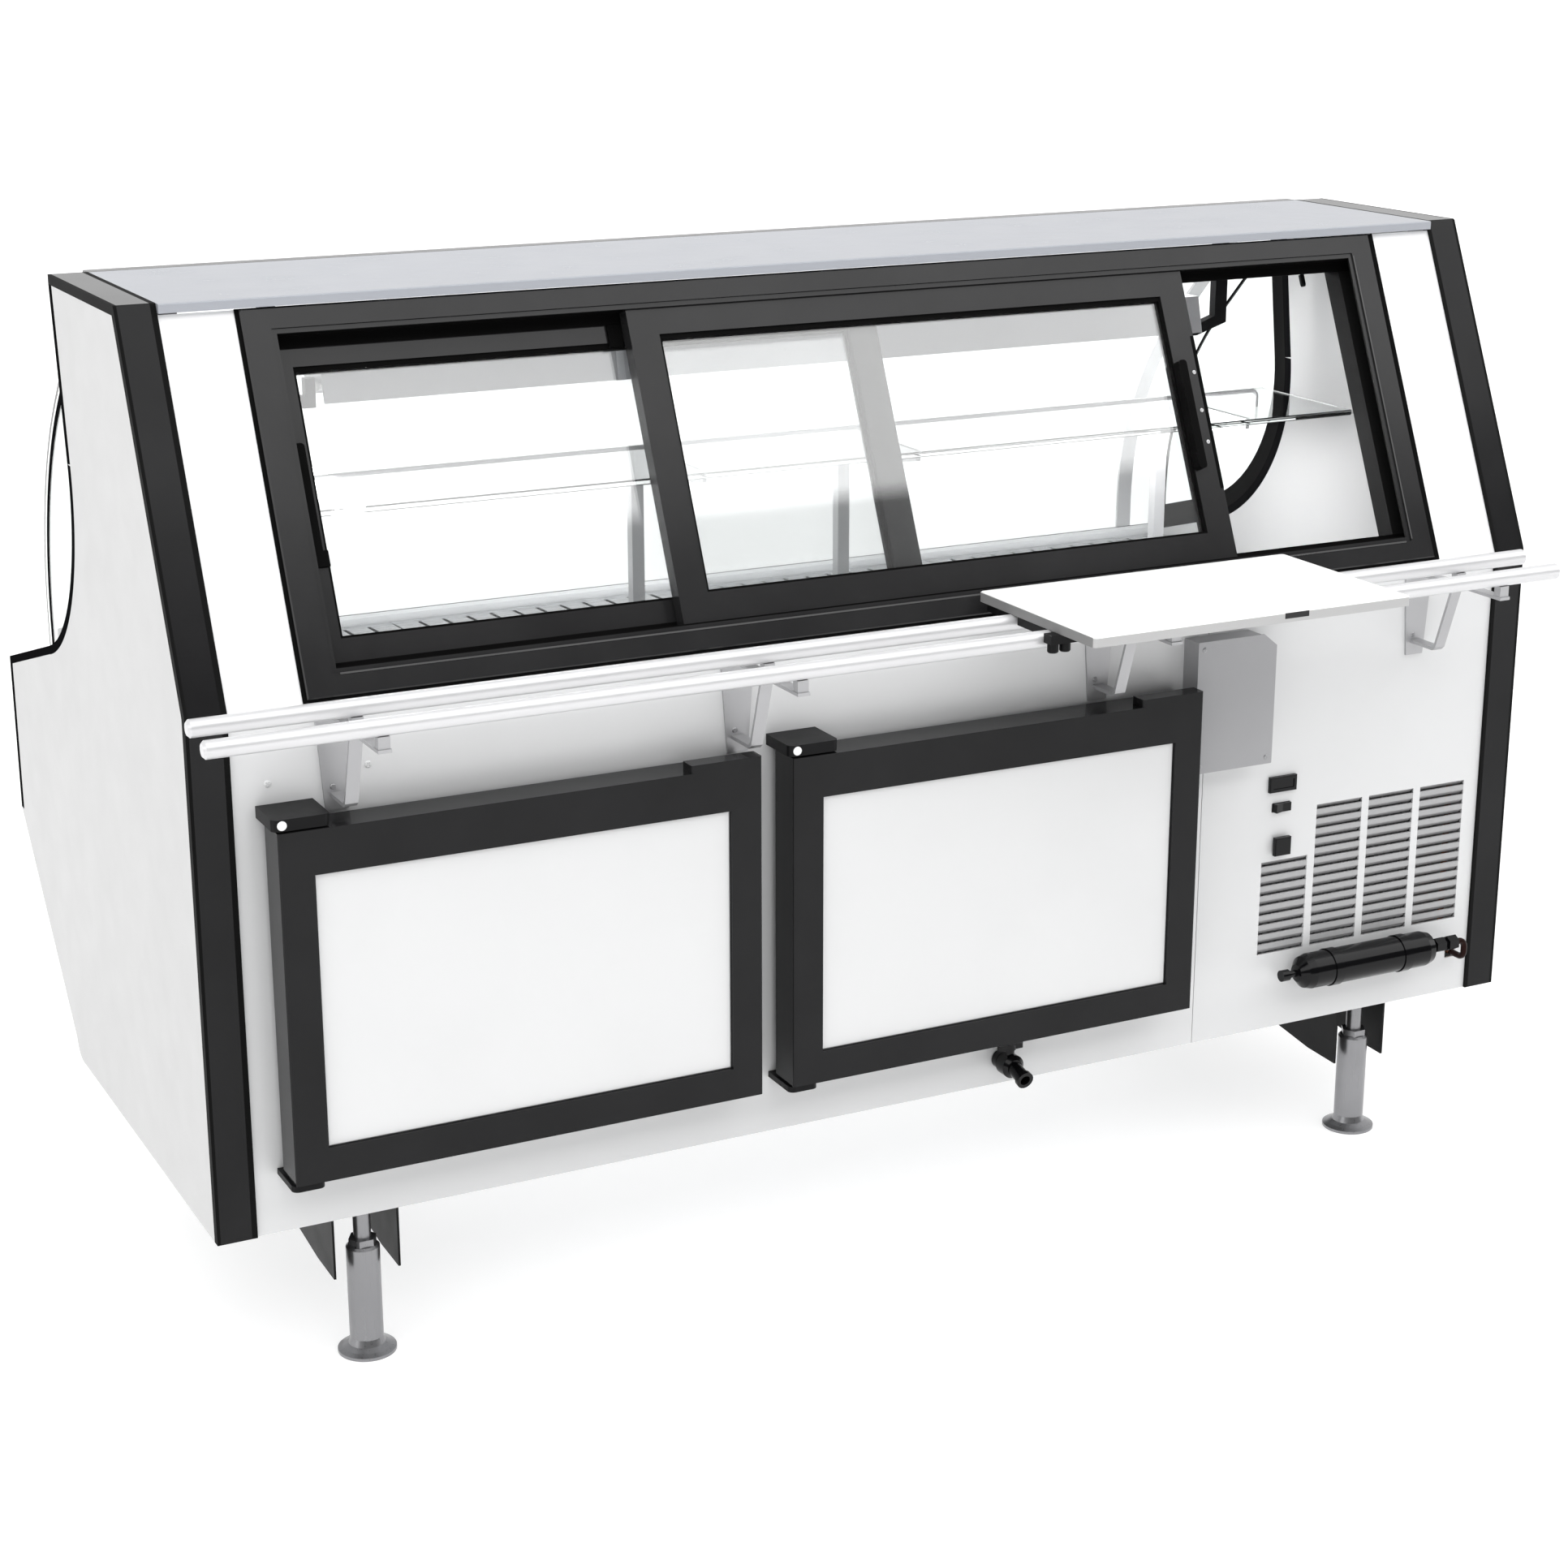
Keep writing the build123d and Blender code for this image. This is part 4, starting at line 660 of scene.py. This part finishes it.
def header_pin():
    """Door stop pin that hangs behind the header."""
    shape = bmesh.new()
    turned(shape, lean(1669, 428, -63), -SLOPE_UP, [(0, 0), (4, 0.2), (4, 14), (3, 16.5), (0, 17)], 20)
    add_piece("header_pin", shape, BLACK, "case")


# ---------------------------------------------------------------- pins and screws
STORE_DOOR_X = {"left": 81.0, "right": 729.0}         # left edges of the store doors


def hinge_pins():
    """Bright pins let into the hinge blocks, with their washers."""
    profile = [(5.6, -0.4), (5.6, 0.9), (4.4, 1.5), (4.0, 1.1), (2.2, 1.2), (1.6, 1.7), (0, 1.9)]
    for side, x in STORE_DOOR_X.items():
        shape = bmesh.new()
        turned(shape, at(x + 6, -59.6, 524), SERVICE, profile, 28)
        add_piece(f"hinge_pin_{side}", shape, WHITE, "case", smooth=True)


def service_screws():
    """Screws of the service wall, the rail brackets and the junction box's lid."""
    wall = [at(x, 4, z) for x, z in ((92, 555), (212, 562))]
    plates = [at(x + dx, 1, z) for x in BRACKET_X for dx, z in ((-11, 601), (11, 601), (-4, 542))]
    lid = [at(x, -31.5, z) for x, z in ((1348, 411), (1454, 411), (1348, 571))]
    screws("wall_screws", wall, SERVICE, 4.5, WALL_WHITE)
    screws("bracket_screws", plates, SERVICE, 3.6, GREY_METAL)
    screws("box_lid_screws", lid, SERVICE, 3.4, GREY_METAL)


# ---------------------------------------------------------------- lamp joint
LAMP_Y, LAMP_Z = 415.0, 938.0
HOOD_SECTION = ((-43, -23), (-30, 27), (30, 27), (43, -23))


def hood_band(name, x, gap, material):
    """A band round the lamp's hood, open below like the hood itself."""
    inside = list(HOOD_SECTION)
    outside = [(43 + gap, -23), (30 + gap, 27 + gap), (-30 - gap, 27 + gap), (-43 - gap, -23)]
    shape = bmesh.new()
    loops = [[shape.verts.new(at(end, LAMP_Y + dy, LAMP_Z + dz)) for dy, dz in inside + outside]
             for end in x]
    join_loops(shape, *loops)
    last = len(inside + outside) - 1
    for loop in loops:
        for i in range(3):
            shape.faces.new((loop[i], loop[i + 1], loop[last - 1 - i], loop[last - i]))
    soften(shape, 0.5, 1)
    add_piece(name, shape, material, "case")


def lamp_joint():
    """A black strap round the hood and two pale sleeves beside it."""
    hood_band("lamp_strap", (719, 732), 4.0, RUBBER)
    hood_band("lamp_sleeve_left", (696, 706), 1.5, WHITE)
    hood_band("lamp_sleeve_right", (741, 751), 1.5, WHITE)


# ---------------------------------------------------------------- studio
FLOOR_HALF = 80.0
FLOOR_GLOW = 0.55          # a lit sweep, so that the studio stays white under the case
SOFTBOX_TILT = 0.702       # rise over run of the softbox's lower edge, seen from the case
SOFTBOX_EDGE = 0.004       # half the width of that edge's fade
SOFTBOX_LIGHT = 2.4
SERVICE_SHADE = 0.10       # the dim room below the softbox
ROOM_LIGHT = 0.95
ROOM_TURN = 0.03           # how softly the service side gives way to the rest of the room

CAMERA_PLACE = (-1.7612, -3.4156, 1.7511)
CAMERA_TURN = (("Z", -26.8754), ("X", 72.790), ("Z", -0.0495))
SENSOR_MM, LENS_MM = 36.0, 67.48

LAMP_WATTS, END_WATTS, FILL_WATTS = 8, 1.6, 42
DECK_AIM = (420, 600)


def make_floor():
    """The pale studio floor under and round the case."""
    mesh = bpy.data.meshes.new("floor")
    shape = bmesh.new()
    corners = ((-1, -1), (1, -1), (1, 1), (-1, 1))
    shape.faces.new([shape.verts.new((x * FLOOR_HALF, y * FLOOR_HALF, 0)) for x, y in corners])
    shape.to_mesh(mesh)
    shape.free()
    floor = bpy.data.objects.new("floor", mesh)
    bpy.context.scene.collection.objects.link(floor)
    material = coat("studio floor", (0.55, 0.55, 0.55), 0.6, wear=0.01, gloss=0.2)
    shader = material.node_tree.nodes["Principled BSDF"]
    shader.inputs["Emission Color"].default_value = (1, 1, 1, 1)
    shader.inputs["Emission Strength"].default_value = FLOOR_GLOW
    floor.data.materials.append(material)


def make_world():
    """Pale room, with a big softbox high on the service side and a dim wall below it."""
    world = bpy.data.worlds.new("studio")
    bpy.context.scene.world = world
    world.use_nodes = True
    tree = world.node_tree
    background = tree.nodes["Background"]
    background.inputs["Color"].default_value = (1, 1, 1, 1)
    rays = tree.nodes.new("ShaderNodeLightPath")
    place = tree.nodes.new("ShaderNodeTexCoord")
    split = tree.nodes.new("ShaderNodeSeparateXYZ")
    tree.links.new(place.outputs["Generated"], split.inputs["Vector"])
    _, y, z = split.outputs
    height = calculate(tree, "ADD", z, calculate(tree, "MULTIPLY", y, SOFTBOX_TILT))
    service = spread(tree, height, SERVICE_SHADE, SOFTBOX_LIGHT, -SOFTBOX_EDGE, SOFTBOX_EDGE)
    away = spread(tree, y, 0.0, 1.0, -ROOM_TURN, ROOM_TURN)
    near_side = calculate(tree, "MULTIPLY", service, without(tree, away))
    power = calculate(tree, "ADD", near_side, calculate(tree, "MULTIPLY", away, ROOM_LIGHT))
    power = calculate(tree, "MAXIMUM", power, rays.outputs["Is Camera Ray"])
    tree.links.new(power, background.inputs["Strength"])


def make_camera():
    """The camera stands behind the service side, left of the case, and looks slightly down."""
    data = bpy.data.cameras.new("camera")
    data.sensor_width = SENSOR_MM
    data.lens = LENS_MM
    camera = bpy.data.objects.new("camera", data)
    bpy.context.scene.collection.objects.link(camera)
    placing = Matrix.Translation(CAMERA_PLACE)
    for axis, degrees in CAMERA_TURN:
        placing = placing @ Matrix.Rotation(math.radians(degrees), 4, axis)
    camera.matrix_world = placing
    bpy.context.scene.camera = camera


def area_light(name, place, aim, size, power):
    """A rectangular soft light at place, turned towards aim."""
    light = bpy.data.lights.new(name, "AREA")
    light.shape = "RECTANGLE"
    light.size, light.size_y = size
    light.energy = power
    obj = bpy.data.objects.new(name, light)
    bpy.context.scene.collection.objects.link(obj)
    obj.location = place
    obj.rotation_euler = (Vector(aim) - Vector(place)).to_track_quat("-Z", "Y").to_euler()
    return obj


def make_lights():
    """Lights under the top panel and at both ends of the display, and a fill with no reflection."""
    area_light("display", at(LENGTH / 2, 455, 1058), at(LENGTH / 2, *DECK_AIM), (1.3, 0.06), LAMP_WATTS)
    for x, wall_x in ((1560, 1850), (340, 50)):
        area_light("display_end", at(x, 430, 775), at(wall_x, *DECK_AIM), (0.16, 0.10), END_WATTS)
    fill = area_light("fill", (-1.0, -5.0, 1.3), (0, 0, 0.7), (3.0, 1.6), FILL_WATTS)
    fill.visible_glossy = False
    fill.visible_camera = False
    fill.visible_transmission = False


# ---------------------------------------------------------------- the scene
for node_name, finish in FINISHES.items():
    dress(NODES[node_name], finish)

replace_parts(bracket_set(), "rail_brackets")
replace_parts(saddle_set(), "board_saddles")
window_trim()
door_beads("outer_door", OUTER_DOOR_X, OUTER_DOOR_N, "outer_door")
door_beads("inner_door", INNER_DOOR_X, INNER_DOOR_N, "inner_door")
outer_door_lock()
inner_door_trim()
header_pin()
hinge_pins()
service_screws()
lamp_joint()

make_floor()
make_world()
make_camera()
make_lights()
bpy.context.scene.view_settings.view_transform = "Standard"
